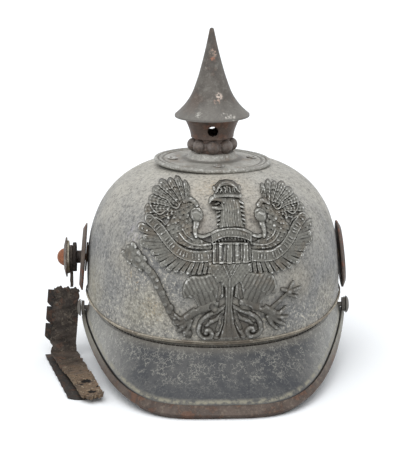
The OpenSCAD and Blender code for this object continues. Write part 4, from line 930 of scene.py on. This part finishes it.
def eagle(X, Z):
    s = Stamp(X, Z)
    # sceptre and orb
    staff = smooth_line([(-57, 93), (-50, 87), (-44, 76), (-38, 65.5), (-34, 58.5), (-27, 52), (-24, 48)], 3)
    s.ridge(staff, 3.1, 2.7, 1.4)
    for i, (x, z) in enumerate(staff[1:-1]):
        s.knob(x + 1.1 * math.cos(2.4 * i), z + 0.9 * math.sin(2.4 * i),
               2.5 + 0.6 * math.sin(1.7 * i), 2.0 + 0.3 * (i % 2))
    s.area([(-71, 95), (-69, 103), (-64, 107), (-60, 103), (-56, 99), (-53, 93), (-57, 89), (-63, 90)], 1.1)
    for x, z, r, h in ((-70.5, 98, 2.3, 1.2), (-66.5, 96, 3.0, 1.6), (-64, 100.2, 2.2, 1.5), (-61, 96.6, 2.8, 1.9),
                       (-62.5, 92, 2.5, 1.4), (-57.5, 93.6, 2.7, 1.8), (-56.2, 98, 1.9, 1.5), (-67.5, 92.8, 1.7, 1.2),
                       (-67, 103, 1.8, 1.2), (-63.4, 105.8, 2.2, 1.6), (-60.6, 101.4, 2.2, 1.7),
                       (-59.5, 89.5, 1.9, 1.3), (-52.5, 90.5, 2.4, 1.7)):
        s.ridge([(x, z), (x + 0.9, z - 0.8)], r, r * 0.75, h)
    s.ridge([(33, 63), (41, 68.5), (46.5, 72.5)], 1.9, 1.3, 1.2)
    for a, b in (((42.5, 75.6), (51.5, 70.5)), ((46.8, 73), (50, 78.3)), ((47.5, 72.5), (54.2, 72.8)),
                 ((46, 71), (52.2, 66.6))):
        s.ridge((a, b), 1.5, 1.3, 1.4)
    s.knob(47.4, 72.6, 2.6, 1.9)
    sag = 2.6 * np.clip((X - 15) / 22, 0, 1)
    mirrored = np.where(X < EAGLE_X, X, 2 * EAGLE_X - X)
    wing(s, mirrored, np.where(X < EAGLE_X, Z, Z + sag))
    haunch(s, mirrored, Z)
    # stem of the tail
    e = inside(X, Z, [(0.5, 90), (2.0, 80), (2.2, 70), (1.2, 58), (-2.5, 46.5), (12.5, 46.5), (9.2, 58), (7.8, 70),
                      (8.2, 80), (9.5, 90)])
    fan = 0.6 * np.abs(np.cos((X - 5) / (2.2 + np.clip(66 - Z, 0, 30) * 0.11) * np.pi)) ** 0.5
    s.over(e, slope(e, 0.8) * (1.5 + fan))
    # breast below the panel, with crossing bands
    e = inside(X, Z, [(-12, 101), (22, 101), (20, 92), (13.5, 86), (8, 82), (2, 82), (-3.5, 86), (-10, 92)])
    s.add(e, slope(e, 1.5) * (2.0 + 0.2 * np.sin(X * 2.1) * np.sin(Z * 1.7)))
    for a, b in (((-0.5, 99), (5, 88.5)), ((2.5, 99), (6, 91.5)), ((12, 99), (5, 88.5)), ((9, 99), (5.6, 93))):
        s.ridge([a, b], 0.6, 0.6, 2.7)
    s.ridge([(5, 88.8), (5, 82)], 1.1, 0.8, 2.7)
    # plain panel with upright bars
    e = inside(X, Z, [(-8.3, 113.2), (19.8, 112), (20.3, 98), (-8, 98.6)])
    bars = 1.0 * (np.abs((X + 4.5) % 5.9 - 2.95) < 1.8)
    s.over(e, slope(e, 0.6) * (1.2 + bars + 0.6 * (np.abs(e - 0.9) < 0.45)))
    # neck and head, the beak open towards the image's left
    e = inside(X, Z, [(-3.5, 121), (16, 121), (14.6, 128), (14.2, 139), (10, 141.8), (2.5, 141.8), (-2, 139.8),
                      (-1.2, 134), (-2.4, 128)])
    strokes = 0.55 * np.abs(np.sin(X * 1.75 + 0.5 * np.sin(Z * 0.55))) ** 0.7 * (0.7 + 0.3 * np.sin(Z * 1.3 + X))
    s.add(e, slope(e, 2.4) * (2.3 + strokes))
    s.ridge([(3, 139.4), (-2.6, 140.4), (-6.8, 140), (-8.6, 137.6)], 2.3, 0.7, 3.0)
    s.ridge([(2, 134.6), (-3, 134.4), (-6.6, 135)], 1.7, 0.7, 2.5)
    s.cut([(-7.6, 137.4), (-1.0, 137.2)], 0.45, 0.6)
    s.knob(1.8, 138.6, 1.0, 3.9)
    for i in range(6):
        z = 123.5 + i * 2.6
        s.ridge([(13.5, z + 1.5), (16.6, z)], 1.0, 0.6, 1.8)
        s.ridge([(-1.5, z + 1.2), (-4.2, z)], 1.0, 0.6, 1.7)
    # crown
    s.area([(-3.5, 140.5), (15, 140.5), (16, 146.2), (11, 149), (6, 149.4), (1, 149), (-4.3, 146.2)], 1.0)
    s.ridge([(-3.8, 141.6), (5, 142.3), (15.2, 141.4)], 1.1, 1.1, 2.8)
    for x, z in ((-3.4, 145.6), (1, 147.2), (6, 148), (11, 147.2), (15.2, 145.6)):
        s.ridge([(x, z), (6 + (x - 6) * 0.75, 144.6)], 1.3, 0.9, 1.6)
    s.ridge([(-2.5, 144), (1, 147.6), (6, 148.4), (11, 147.6), (14.5, 144)], 0.8, 0.8, 2.0)
    for i in range(4):
        s.ridge([(0.6 + 3.6 * i, 144.2), (1.6 + 3.2 * i, 146), (0.2 + 3.6 * i, 146.6)], 0.7, 0.5, 2.2)
    # arched band with a beaded lower edge and a row of plain ticks
    e = inside(X, Z, smooth_line([(-9.2, 119), (-5, 120.9), (1, 122.3), (6, 122.5), (12, 121.9), (18, 119.8),
                                  (21, 117.9)]) + smooth_line([(20.6, 111.6), (14, 114.6), (6, 115.8), (-1, 115.4),
                                                               (-8.6, 112.3)]))
    ticks = 0.45 * (np.sin(X * 3.1) > 0.2) * (np.sin(X * 1.27) > -0.7) * (np.abs(e - 3.4) < 1.1)
    s.over(e, slope(e, 0.4) * (2.7 + 0.5 * (np.abs(e - 0.7) < 0.4) + ticks))
    for i in range(13):
        t = i / 12
        x, z = -8.2 + 28.2 * t, 112.6 + 3.2 * math.sin(math.pi * t) - 0.8 * t
        s.ridge([(x, z), (x + 0.35, z - 0.9)], 0.75, 0.6, 3.6)
    # pierced slots
    for line, w in ((((-2.2, 85.5), (-1.4, 80), (-2.9, 74)), 0.7), (((11.9, 84.5), (13.2, 79), (14, 75)), 0.7),
                    (((-21.3, 73.5), (-18.6, 69.6)), 1.1), (((30.8, 72.5), (28.6, 68)), 1.1),
                    (((-6.6, 69.8), (-4.8, 67.8)), 1.4), (((14.5, 68.8), (19, 66.8)), 1.0),
                    (((0.2, 64), (-1.6, 57.5), (-3.4, 52.8)), 0.75), (((9.8, 64), (11.4, 58), (13.2, 53.8)), 0.75),
                    (((-9.6, 60.6), (-12.8, 57.2)), 0.7), (((19.6, 60.6), (22.8, 57.2)), 0.7),
                    (((-13, 54.8), (-13.6, 51)), 0.5), (((23, 54.8), (23.6, 51)), 0.5),
                    (((-0.4, 110.5), (-0.6, 101)), 0.4), (((11.6, 110.5), (11.8, 101)), 0.4)):
        s.cut(line, 1.45 * w, 1.45 * w)
    return s


def blurred(a, n):
    for axis in (0, 1):
        kernel = np.hanning(2 * n + 1)
        kernel /= kernel.sum()
        a = np.apply_along_axis(lambda v: np.convolve(np.pad(v, n, mode="edge"), kernel, "valid"), axis, a)
    return a


def sheet_cells(F):
    """Cells with metal at two corners or more, the points they use, and those points that lie on a border."""
    solid = (F > 0).astype(int)
    cell = solid[:-1, :-1] + solid[1:, :-1] + solid[:-1, 1:] + solid[1:, 1:] >= 2
    used, full = np.zeros(F.shape, bool), np.zeros(F.shape, bool)
    for a, b in ((slice(None, -1), slice(None, -1)), (slice(1, None), slice(None, -1)),
                 (slice(None, -1), slice(1, None)), (slice(1, None), slice(1, None))):
        used[a, b] |= cell
    full[1:-1, 1:-1] = cell[:-1, :-1] & cell[1:, :-1] & cell[:-1, 1:] & cell[1:, 1:]
    return cell, used, used & ~full


def pierced_shell(front, back, cell, used):
    """Front and back faces over the chosen cells, with a skirt along every border edge."""
    total = int(used.sum())
    index = np.full(used.shape, -1)
    index[used] = np.arange(total)
    i, j = np.nonzero(cell)
    top = np.stack([index[i, j], index[i, j + 1], index[i + 1, j + 1], index[i + 1, j]], -1)
    edges = np.concatenate([top[:, [0, 1]], top[:, [1, 2]], top[:, [2, 3]], top[:, [3, 0]]])
    key = np.sort(edges, 1)
    _, first, count = np.unique(key[:, 0] * total + key[:, 1], return_index=True, return_counts=True)
    a, b = edges[first[count == 1]].T
    faces = [top, top[:, ::-1] + total, np.stack([b, a, a + total, b + total], -1)]
    return np.concatenate([front[used], back[used]]), np.concatenate(faces)


def front_plate():
    step = 0.42
    xs = np.arange(-75, 70.01, step)
    table_z = np.concatenate([np.linspace(46.3, SHOULDER, 60, endpoint=False),
                              SHOULDER + RISE * climb(np.linspace(0, math.radians(77.2), 900))])
    y = face_y(0 * table_z, table_z)
    along = np.concatenate([[0], np.cumsum(np.hypot(np.diff(y), np.diff(table_z)))])
    zs = np.interp(np.arange(0, along[-1], step), along, table_z)
    X, Z = np.meshgrid(xs, zs)
    # the drawing is fitted to the real plate by a smooth stretch
    a, b = (X - EAGLE_X) / 60, (Z - 97) / 50
    terms = (1, a, b, a * a, a * b, b * b, a ** 3, a * a * b, a * b * b, b ** 3)
    over = (-3.4, 1.1, -2.6, -0.6, 1.8, 1.0, -0.7, 4.5, -1.4, 2.9)
    up = (-2.6, -0.4, -1.7, -0.9, 0.4, 2.4, 0.1, 5.6, 0.7, 2.2)
    s = eagle(X + sum(k * t for k, t in zip(over, terms)), Z + sum(k * t for k, t in zip(up, terms)))
    # the sheet ends at the skull's side, above the seam and below the base plate
    F = np.minimum.reduce([s.F, HALF_X * share_at(Z) * 0.985 - np.abs(X), Z - 46.7, 149.05 - Z])
    H = blurred(np.where(F > 0, s.H, 0), 1)
    # height above the nearby relief, which the finish turns into painted shade in the hollows and painted highlight
    # and glints on the crests
    rise = H - blurred(np.where(F > 0, H, 0.2), 5)
    cell, used, border = sheet_cells(F)
    # the outline is brought onto the zero line of F
    gz, gx = np.gradient(F, zs, axis=0), np.gradient(F, xs, axis=1)
    size = np.maximum(np.hypot(gx, gz), 0.5)
    edge = border & (np.abs(F) < 0.75)
    move = np.clip(-F, -0.5, 0.5) / size
    X2 = np.where(edge, X + move * gx / size, X)
    Z2 = np.maximum(np.where(edge, Z + move * gz / size, Z), 46.5)
    front = np.stack([X2, -face_y(X2, Z2, 1.0 + np.clip(H * 1.15, 0, 4.4) * slope(F, 0.7)), Z2], -1)
    back = np.stack([X2, -face_y(X2, Z2, 0.42), Z2], -1)
    made = pierced_shell(front, back, cell, used)
    # the back of the sheet is painted as shade
    return made, {"rise": np.concatenate([rise[used], np.full(int(used.sum()), -0.4)])}


made, attributes = front_plate()
piece("front_plate_stamped", made, "plate_metal", ["front_plate"], 60, 0, attributes)

# Base plate with a rolled, grooved rim; it sits a little lower at the right, and its tube rivets follow it

# Heights of the rim's underside, of the web and of the boss
PLATE_LOW, PLATE_WEB, PLATE_BOSS = 150.25, 153.2, 158.78


def settle(points):
    """Lower the right side of the plate and raise its left, outside the boss."""
    x, y = points[:, 0], points[:, 1]
    amount = np.clip((np.hypot(x, y) - 17) / 17, 0, 1)
    points = points.copy()
    points[:, 2] += amount * (0.12 - 0.032 * x + 0.15 * waves(points * [1, 1, 0], 50, 17))
    return points


def base_plate():
    # radius, height and level of each point, the level being how far it stands out for the finish, which paints shade
    # in the grooves, at the boss's foot and under the rim, and highlight on the crests
    web, boss = PLATE_WEB, PLATE_BOSS
    rows = [(12.2, boss, 0.06), (15.6, boss, 0.06), (16.6, boss - 0.4, 0.06), (17.4, boss - 1.6, 0.25),
            (18.2, boss - 3.4, 0.1), (19.6, boss - 4.7, -0.3), (21.5, web + 0.35, -0.35), (24, web + 0.1, -0.1),
            (28, web, 0.05), (33, web - 0.15, 0.12), (35.5, web - 0.45, 0.16), (36.6, web - 0.95, -0.5),
            (37.4, web - 1.0, -0.6), (38.2, web - 0.5, 0.25), (38.9, web - 0.2, 0.45), (39.6, web - 0.35, 0.1),
            (40.1, web - 0.8, -0.6), (40.7, web - 0.9, -0.65), (41.3, web - 0.5, 0.0)]
    rows += [(42.35 + 1.55 * math.sin(a), 151.65 + 1.5 * math.cos(a), 0.35)
             for a in np.radians(np.arange(-28, 200, 19))]
    rows += [(r, z, -0.4) for r, z in ((41.0, PLATE_LOW + 0.15), (40.2, 151.3), (37.5, 151.7), (30, 152.4),
                                       (20.5, 152.5), (17.2, 152.6), (15.6, 156.9), (14.6, 157.6), (12.2, 157.6))]
    points, faces = lathe([row[:2] for row in rows], 220)
    return (settle(points), faces), {"rise": np.repeat([row[2] for row in rows], 220)}


made, attributes = base_plate()
piece("base_plate_rolled", made, "base_metal", ["spike_base_plate"], 35, 0, attributes)
tubes = []
for i in range(4):
    a = math.radians(8 + i * 90)
    points, faces = lathe([(1.7, 144.6), (2.2, 144.6), (3.4, 145.0), (3.5, 145.5), (2.2, 145.9), (2.2, 152.9),
                           (3.9, 153.3), (4.15, 153.6), (3.9, 154.05), (3.1, 154.25), (2.3, 154.0), (1.8, 153.2),
                           (1.7, 152)], 48)
    points = points + [30 * math.sin(a), -30 * math.cos(a), 0]
    tubes.append((np.where(points[:, 2:] > 148, settle(points), points), faces))
piece("base_plate_tube_rivets", joined(*tubes), "rivet_metal", ["base_plate_rivets"], 35)

# Lugs that fill the space between the trim's ears and the stud heads

lug = [(1.6, 0), (5.2, 0), (5.4, 0.5), (5.0, 1.5), (4.4, 2.3), (1.6, 2.3)]
lugs = joined(*(at_corner(lug, 48, side, 97.75) for side in (-1, 1)))
piece("trim_lugs", lugs, "stud_metal", sharp=35)

# Soft pieces at the side and the crown

BUSH_Z = 78


def on_right(made, x, lean=0.0):
    """Turn a piece made about Z so that its axis points out of the helmet's right side, at the bush's height."""
    points, faces = made
    a = math.radians(lean)
    out, flat, rise = points[:, 2], points[:, 0], points[:, 1]
    return np.stack([-(x + out * math.cos(a) - rise * math.sin(a)), flat,
                     BUSH_Z + rise * math.cos(a) + out * math.sin(a)], -1), faces


def ragged(depth, seed, fine=9):
    """Uneven edge of a torn disc, as a share of its radius."""
    local = np.random.default_rng(seed)
    phases, sizes = local.uniform(0, 7, 8), local.uniform(0.3, 1, 8)

    def edge(a):
        total = sum(size * np.sin((k + 2) * fine / 9 * a + phase)
                    for k, (phase, size) in enumerate(zip(phases, sizes)))
        return depth * np.minimum(total / 3, 0.15)
    return edge


def washer(outer, bore_d, thick, soft=0.35, layers=1):
    r, b = outer / 2, bore_d / 2
    profile = [(b, 0), ((r + b) / 2, 0), (r - soft, 0), (r, soft)]
    for k in range(1, layers):
        z = thick * k / layers
        profile += [(r, z - 0.1), (r - 0.5, z), (r, z + 0.1)]
    return profile + [(r, thick - soft), (r - soft, thick), ((r + b) / 2, thick), (b, thick)]


piece("packing_disc", on_right(lathe(washer(22, 8.4, 1.2), 96, ragged(0.03, 5)), 95.1, 4.92), "packing_leather",
      ["cockade_packing"], 50)
piece("washer_dark", on_right(lathe(washer(22, 5.3, 2.8, 0.4, 3), 110, ragged(0.05, 8)), 103.15), "washer_leather",
      ["rosette_inner_washer"], 50)
piece("washer_pale", on_right(lathe(washer(25, 5.3, 1.6, 0.3, 2), 140, ragged(0.09, 12, 14)), 108.6), "washer_paper",
      ["rosette_outer_washer"], 50)
seat = lathe([(r, 184.7 + z) for r, z in washer(42.5, 38.4, 0.7, 0.25)], 180, ragged(0.012, 3, 12))
piece("spike_seat_washer", seat, "packing_leather", ["spike_washer"], 50,
      body="spike_carrier")

# Wedges through the loops of the front plate, square bars turned on edge

LOOP_X, LOOP_Z = 36, 101.0
for side in (-1, 1):
    x = EAGLE_X + side * LOOP_X
    y = float(face_y(np.array(float(x)), np.array(LOOP_Z)))
    turn = math.atan2(x / HALF_X ** 2, y / HALF_Y ** 2)
    length = np.linspace(-12, 12, 25)
    path = np.stack([length, 6.7 + 0.25 * np.sin(length * 0.4 + side), 0.25 * np.sin(length * 0.7 + side)], -1)
    points, faces = tube(path, 1.9 - 0.5 * (np.abs(length) / 12) ** 3, 4)
    points = points - path.repeat(4, 0)
    half = math.sqrt(0.5)
    points = np.stack([points[:, 0], half * (points[:, 1] - points[:, 2]), half * (points[:, 1] + points[:, 2])], -1)
    points = points + path.repeat(4, 0)
    world = np.stack([x + points[:, 0] * math.cos(turn) - points[:, 1] * math.sin(turn),
                      -y + points[:, 0] * math.sin(turn) + points[:, 1] * math.cos(turn), LOOP_Z + points[:, 2]],
                     -1)
    piece("wedge_" + ("right" if side < 0 else "left"), (world, faces), "wedge_leather",
          ["plate_wedges"] if side < 0 else (), 40, 0.5)

# Chin strap: an eye with its tongue, and one leather that bends where it meets the table

FOLD = np.array([-117.99, 0.0, 4.997])
LEAN, TURN = math.radians(5.5), math.radians(11.5)
# Half width of the leather, how far all of it sits inwards, and how much more the lying part does for each millimetre
HALF_WIDTH, INWARD, DRIFT = 10.0, 2.4, 0.028


def strap_tab():
    eye = on_right(lathe(washer(18, 5.3, 2.3, 0.5), 96, ragged(0.05, 21, 12)), 106.12)
    n = 26
    drop = np.linspace(0, 1, n)
    z = 71.5 - drop * 16.2
    wide = 3.5 + 0.25 * np.sin(drop * 21) - 0.9 * np.maximum(drop - 0.86, 0) / 0.14
    outer = np.stack([np.full((n, 9), -108.4),
                      wide[:, None] * np.linspace(-1, 1, 9)[None] + 0.2 * np.sin(drop * 9)[:, None],
                      z[:, None] + (drop[:, None] > 0.97) * np.array([0.6, -0.5, 0.9, 0.1, -0.6, 0.7, 0, 0.8, -0.2])],
                     -1)
    inner = outer + np.array([2.25, 0, 0])
    outer[..., 0] += 0.15 * np.sin(outer[..., 2] * 0.9)
    return joined(eye, shell(outer, inner))


made = strap_tab()
piece("strap_eye", made, "strap_leather", ["strap_tab"], 45, 0.35, {"torn": np.zeros(len(made[0]))},
      body="strap_hanging")


# Ways along and across the lying part
OUT_LIE = np.array([math.sin(TURN), -math.cos(TURN), 0])
WIDE_LIE = np.array([math.cos(TURN), math.sin(TURN), 0])


def wear_through(outer):
    """Press torn hollows into the lying part and tell how deep each point is in them."""
    dark = np.zeros(outer.shape[:2])
    for d, w, radius in ((82, 2, 4.2), (88, -3.5, 3.0), (106, 1.5, 4.0), (112, -4, 2.5), (97, 7.5, 2.2),
                         (60, 8.6, 1.8)):
        at = FOLD + OUT_LIE * d + WIDE_LIE * w + [DRIFT * d, 0, 0]
        x, y = outer[..., 0], outer[..., 1]
        far = np.hypot(x - at[0], y - at[1]) + 0.9 * np.sin(x * 1.7) * np.sin(y * 1.3)
        g = np.clip(1 - far / radius, 0, 1) * (outer[..., 2] < 9)
        outer[..., 2] -= np.minimum(1.5 * g ** 0.6, 1.5)
        dark = np.maximum(dark, np.clip(g * 3, 0, 1))
    return dark


def strap():
    """Rows across the strap from its torn top, down, round the bend and along the table."""
    top, across = 50.1, np.linspace(-1, 1, 33)
    # radius of the bend, and how far the lying part's face is below the fold
    bend, low = 6.5, 4.75 - FOLD[2]
    rows, thick_rows = [], []
    hang = np.linspace(top, bend + 0.2, 90)
    arc = np.linspace(0, math.pi / 2, 14)
    lie = np.linspace(bend + 0.5, 121.5, 210)
    down = np.array([math.sin(LEAN), 0, math.cos(LEAN)])
    wide_hang = np.array([math.cos(LEAN), 0, -math.sin(LEAN)])
    local = np.random.default_rng(5)
    nick = [(local.uniform(4, 118), local.choice([-1, 1]), local.uniform(0.4, 1.6), local.uniform(0.8, 2.4))
            for _ in range(26)]

    def row(centre, wide, normal, s, half, lift):
        q = across
        left = right = half
        for at, sign, deep, span in nick:
            g = deep * math.exp(-(((s - at) / span) ** 2))
            if sign < 0:
                left -= g
            else:
                right -= g
        x = np.where(q < 0, q * left, q * right)
        cup = lift * np.abs(q) ** 2.5
        ripple = 0.18 * np.sin(s * 0.55 + 2 * q) + 0.14 * np.sin(s * 1.3 + 5 * q)
        points = centre + x[:, None] * wide + (cup + ripple)[:, None] * normal
        rows.append(points)
        thick_rows.append(points - normal * (2.1 - 0.5 * np.abs(q) ** 6)[:, None])

    for h in hang:
        s = top - h
        centre = FOLD + down * h + np.array([0, -1.05, 0])
        share = max(1 - s / 3.0, 0)
        row(centre, wide_hang, np.array([0, -1.0, 0]), s, HALF_WIDTH, 0.25)
        tear = np.sin(across * 11 + 1.2) * 0.8 + np.sin(across * 23) * 0.5 - 0.9
        tear = np.where(np.abs(across) > 0.93, tear - 1.2, tear)
        for r in (rows[-1], thick_rows[-1]):
            r += down * (np.minimum(tear, 0) * share)[:, None]
    for a in arc[1:-1]:
        s = top - bend + bend * a
        blend = a / (math.pi / 2)
        normal = np.array([0, -math.cos(a), math.sin(a)])
        base = FOLD + down * bend * (1 - blend) + OUT_LIE * bend * blend
        base[1] = -(bend * (1 - math.cos(a))) - 1.05 * math.cos(a)
        base[2] = FOLD[2] + low * blend + (bend + 0.2 - 0.2 * blend) * (1 - math.sin(a))
        wide = wide_hang * (1 - blend) + WIDE_LIE * blend
        row(base, wide / np.linalg.norm(wide), normal, s, HALF_WIDTH, 0.25)
    for d in lie:
        s = top + d
        swell = 0.5 * math.sin(d * 0.11) + 0.35 * math.sin(d * 0.27 + 1)
        fade = min((d - bend) / 14, 1)
        centre = FOLD + OUT_LIE * d + np.array([DRIFT * d, 0, low + fade * (0.45 + swell * 0.6)])
        half = HALF_WIDTH - 0.013 * d + 0.5 * math.sin(d * 0.05) + 0.15 * math.sin(d * 0.9)
        row(centre, WIDE_LIE, np.array([0, 0, 1.0]), s, half, 0.2 + 0.9 * fade * (0.5 + 0.5 * math.sin(d * 0.07 + 2)))
        share = max((d - 112) / 9.5, 0)
        ends = 0.9 + 0.8 * np.sin(across * 7 + 0.5) + 0.55 * np.sin(across * 19 + 2) + 2.2 * (across + 0.1) ** 2
        for r in (rows[-1], thick_rows[-1]):
            r -= OUT_LIE * (ends * share * 2.2)[:, None]
    outer, inner = np.stack(rows), np.stack(thick_rows)
    dark = wear_through(outer)
    along = np.concatenate([np.zeros(len(hang)), arc[1:-1] * 0.07, np.clip((lie - 20) / 50, 0.12, 1)])
    made = shell(outer, inner)
    made[0][:, 0] += INWARD
    lying = np.concatenate([(along[:, None] + 0 * dark).ravel()] * 2)
    return made, {"torn": np.concatenate([dark.ravel(), dark.ravel() * 0]), "lying": lying}


made, attributes = strap()
strap_piece = piece("strap_leather_long", made, "strap_leather", ["strap_leather_upper", "strap_leather_lower"],
                    45, 0.4, attributes, body=None)
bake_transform(strap_piece)

# Liner: sweat band, tongues and drawstring


def lined(outer, thick):
    """Inner face of a sheet, a thickness nearer to the axis than its outer face."""
    flat = outer * [1, 1, 0]
    return outer - flat / np.linalg.norm(flat, axis=-1)[..., None] * thick


def liner_band():
    n = 360
    p = np.arange(n) * 2 * np.pi / n
    rows = []
    for f in np.linspace(0, 1, 18):
        z = 44 + f * 34
        off = -6.75 - 0.35 * np.sin(p * 5) ** 2 * np.sin(math.pi * f) - 0.12 * np.sin(p * 40) * (f < 0.15)
        rows.append(plan(p, z + (f > 0.97) * 0.3 * np.sin(p * 90), off))
    outer = np.stack(rows)
    return shell(outer, lined(outer, 1.3), True)


piece("sweat_band", liner_band(), "liner_leather", ["liner_band"], 40, 0.4)


def tongues():
    parts = []
    for i in range(8):
        mid = -(i + 0.5) * 45.0
        s = np.linspace(0, 1, 40)[:, None]
        q = np.linspace(-1, 1, 25)[None]
        wide = 20 * (1 - s) + 14 * s
        wide = wide * (1 - 0.25 * np.clip((s - 0.86) / 0.14, 0, 1) ** 2)
        p = np.radians(mid + q * wide)
        z = 72 + s * 57 - 1.5 * np.abs(q) ** 3 * np.clip((s - 0.8) / 0.2, 0, 1)
        k = s ** 1.7
        off = -8.4
        soft = 0.9 * np.sin(math.pi * s) * (0.5 + 0.5 * np.cos(q * 3 + i)) * 0.8
        x = (HALF_X + off) * (1 - k) + 34 * k - soft
        y = (HALF_Y + off) * (1 - k) + 34 * k - soft
        outer = np.stack([x * np.sin(p), -y * np.cos(p), z + 0 * p], -1)
        parts.append(shell(outer, lined(outer, 1.2)))
    return joined(*parts)


piece("liner_tongue_set", tongues(), "liner_leather", ["liner_tongues"], 40, 0.35)

# drawn ring, its two hanging ends and its knot
a = np.arange(480) * 2 * np.pi / 480
r = 32 + 0.25 * np.sin(a * 8)
ring = np.stack([r * np.sin(a), -r * np.cos(a), 127.2 + 0.35 * np.sin(a * 16)], -1)
cord = [tube(ring, 1.1 + 0.1 * np.sin(a * 150), 12, True)]
t = np.linspace(0, 1, 30)
for sign in (-1, 1):
    end = np.stack([sign * (1.5 + 9 * t + 3 * np.sin(t * 3)), -31.0 + 6 * t * t, 126.2 - 15 * t ** 1.4], -1)
    cord.append(tube(end, 1.0 + 0.08 * np.sin(t * 60), 10))
t = np.linspace(0, 2 * np.pi, 60, endpoint=False)
knot = np.stack([2.4 * np.sin(t) + 0.8 * np.sin(2 * t), -31.3 + 1.4 * np.cos(3 * t), 126.0 + 1.8 * np.cos(t)], -1)
cord.append(tube(knot, 1.1, 10, True))
piece("drawstring_cord", joined(*cord), "string_cloth", ["liner_drawstring"], 0)

# Metal parts of the CAD keep their shape and get their finish, some of them with softened edges

for name, paint, bevel in (
    ("trim_studs", "stud_metal", 0.25), ("rear_spine", "spine_metal", 0.25), ("vent_slider", "spine_metal", 0.2),
    ("spine_rivets", "stud_metal", 0), ("rivet_washers", "rivet_metal", 0), ("spike_neck", "neck_metal", 0.25),
    ("pearl_ring", "pearl_metal", 0), ("spike", "spike_metal", 0.25), ("plate_loops", "fixing_brass", 0),
    ("side_bush_right", "fixing_brass", 0), ("side_bush_left", "fixing_brass", 0),
    ("rosette_post", "post_metal", 0), ("cockade_right", "cockade_metal", 0.4),
    ("cockade_left", "cockade_metal", 0.4), ("rosette_disc", "rosette_metal", 0.3),
    ("rosette_screw", "screw_metal", 0), ("chin_scales_upper", "scale_metal", 0.2),
    ("chin_scales_lower", "scale_metal", 0.2),
):
    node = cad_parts[name]
    for place in node.material_slots:
        place.link = "OBJECT"
        place.material = paints[paint]
    if bevel:
        soften(node, bevel, 35)

# Floor, light and world

floor_mesh = bpy.data.meshes.new("floor")
floor_mesh.from_pydata([(-9, -9, 0), (9, -9, 0), (9, 9, 0), (-9, 9, 0)], [], [(0, 1, 2, 3)])
floor = bpy.data.objects.new("floor", floor_mesh)
scene.collection.objects.link(floor)
floor_paint = bpy.data.materials.new("floor_white")
floor_mesh.materials.append(floor_paint)


def cleared(owner):
    owner.use_nodes = True
    owner.node_tree.nodes.clear()
    return Nodes(owner.node_tree)


# Both are near white where they are seen. As light, the floor is grey and the sky brightens upwards.
PALE = (0.97, 0.985, 1.0, 1)
n = cleared(floor_paint)
diffuse = n.node("BsdfDiffuse")
n.plug(diffuse.inputs["Color"], n.mix(n.seen(), (0.5, 0.51, 0.52, 1), PALE))
n.plug(n.node("OutputMaterial").inputs["Surface"], diffuse.outputs[0])

scene.world = bpy.data.worlds.new("studio")
n = cleared(scene.world)
sky = n.between(n.part(n.node("TexCoord").outputs["Generated"], 2), 0, 1, 0.62, 1.3, "LINEAR")
both = n.node("MixShader")
n.plug(both.inputs[0], n.seen())
for i, (tone, power) in enumerate(((PALE, sky), ((1, 1, 1, 1), 1.0))):
    light = n.node("Background")
    n.plug(light.inputs["Color"], tone)
    n.plug(light.inputs["Strength"], power)
    n.plug(both.inputs[i + 1], light.outputs[0])
n.plug(n.node("OutputWorld").inputs["Surface"], both.outputs[0])

sun = bpy.data.objects.new("key", bpy.data.lights.new("key", "SUN"))
sun.data.energy = 0.8
sun.data.angle = math.radians(50)
scene.collection.objects.link(sun)
sun.rotation_euler = Vector((-0.25, -0.7, 1.0)).to_track_quat("Z", "Y").to_euler()
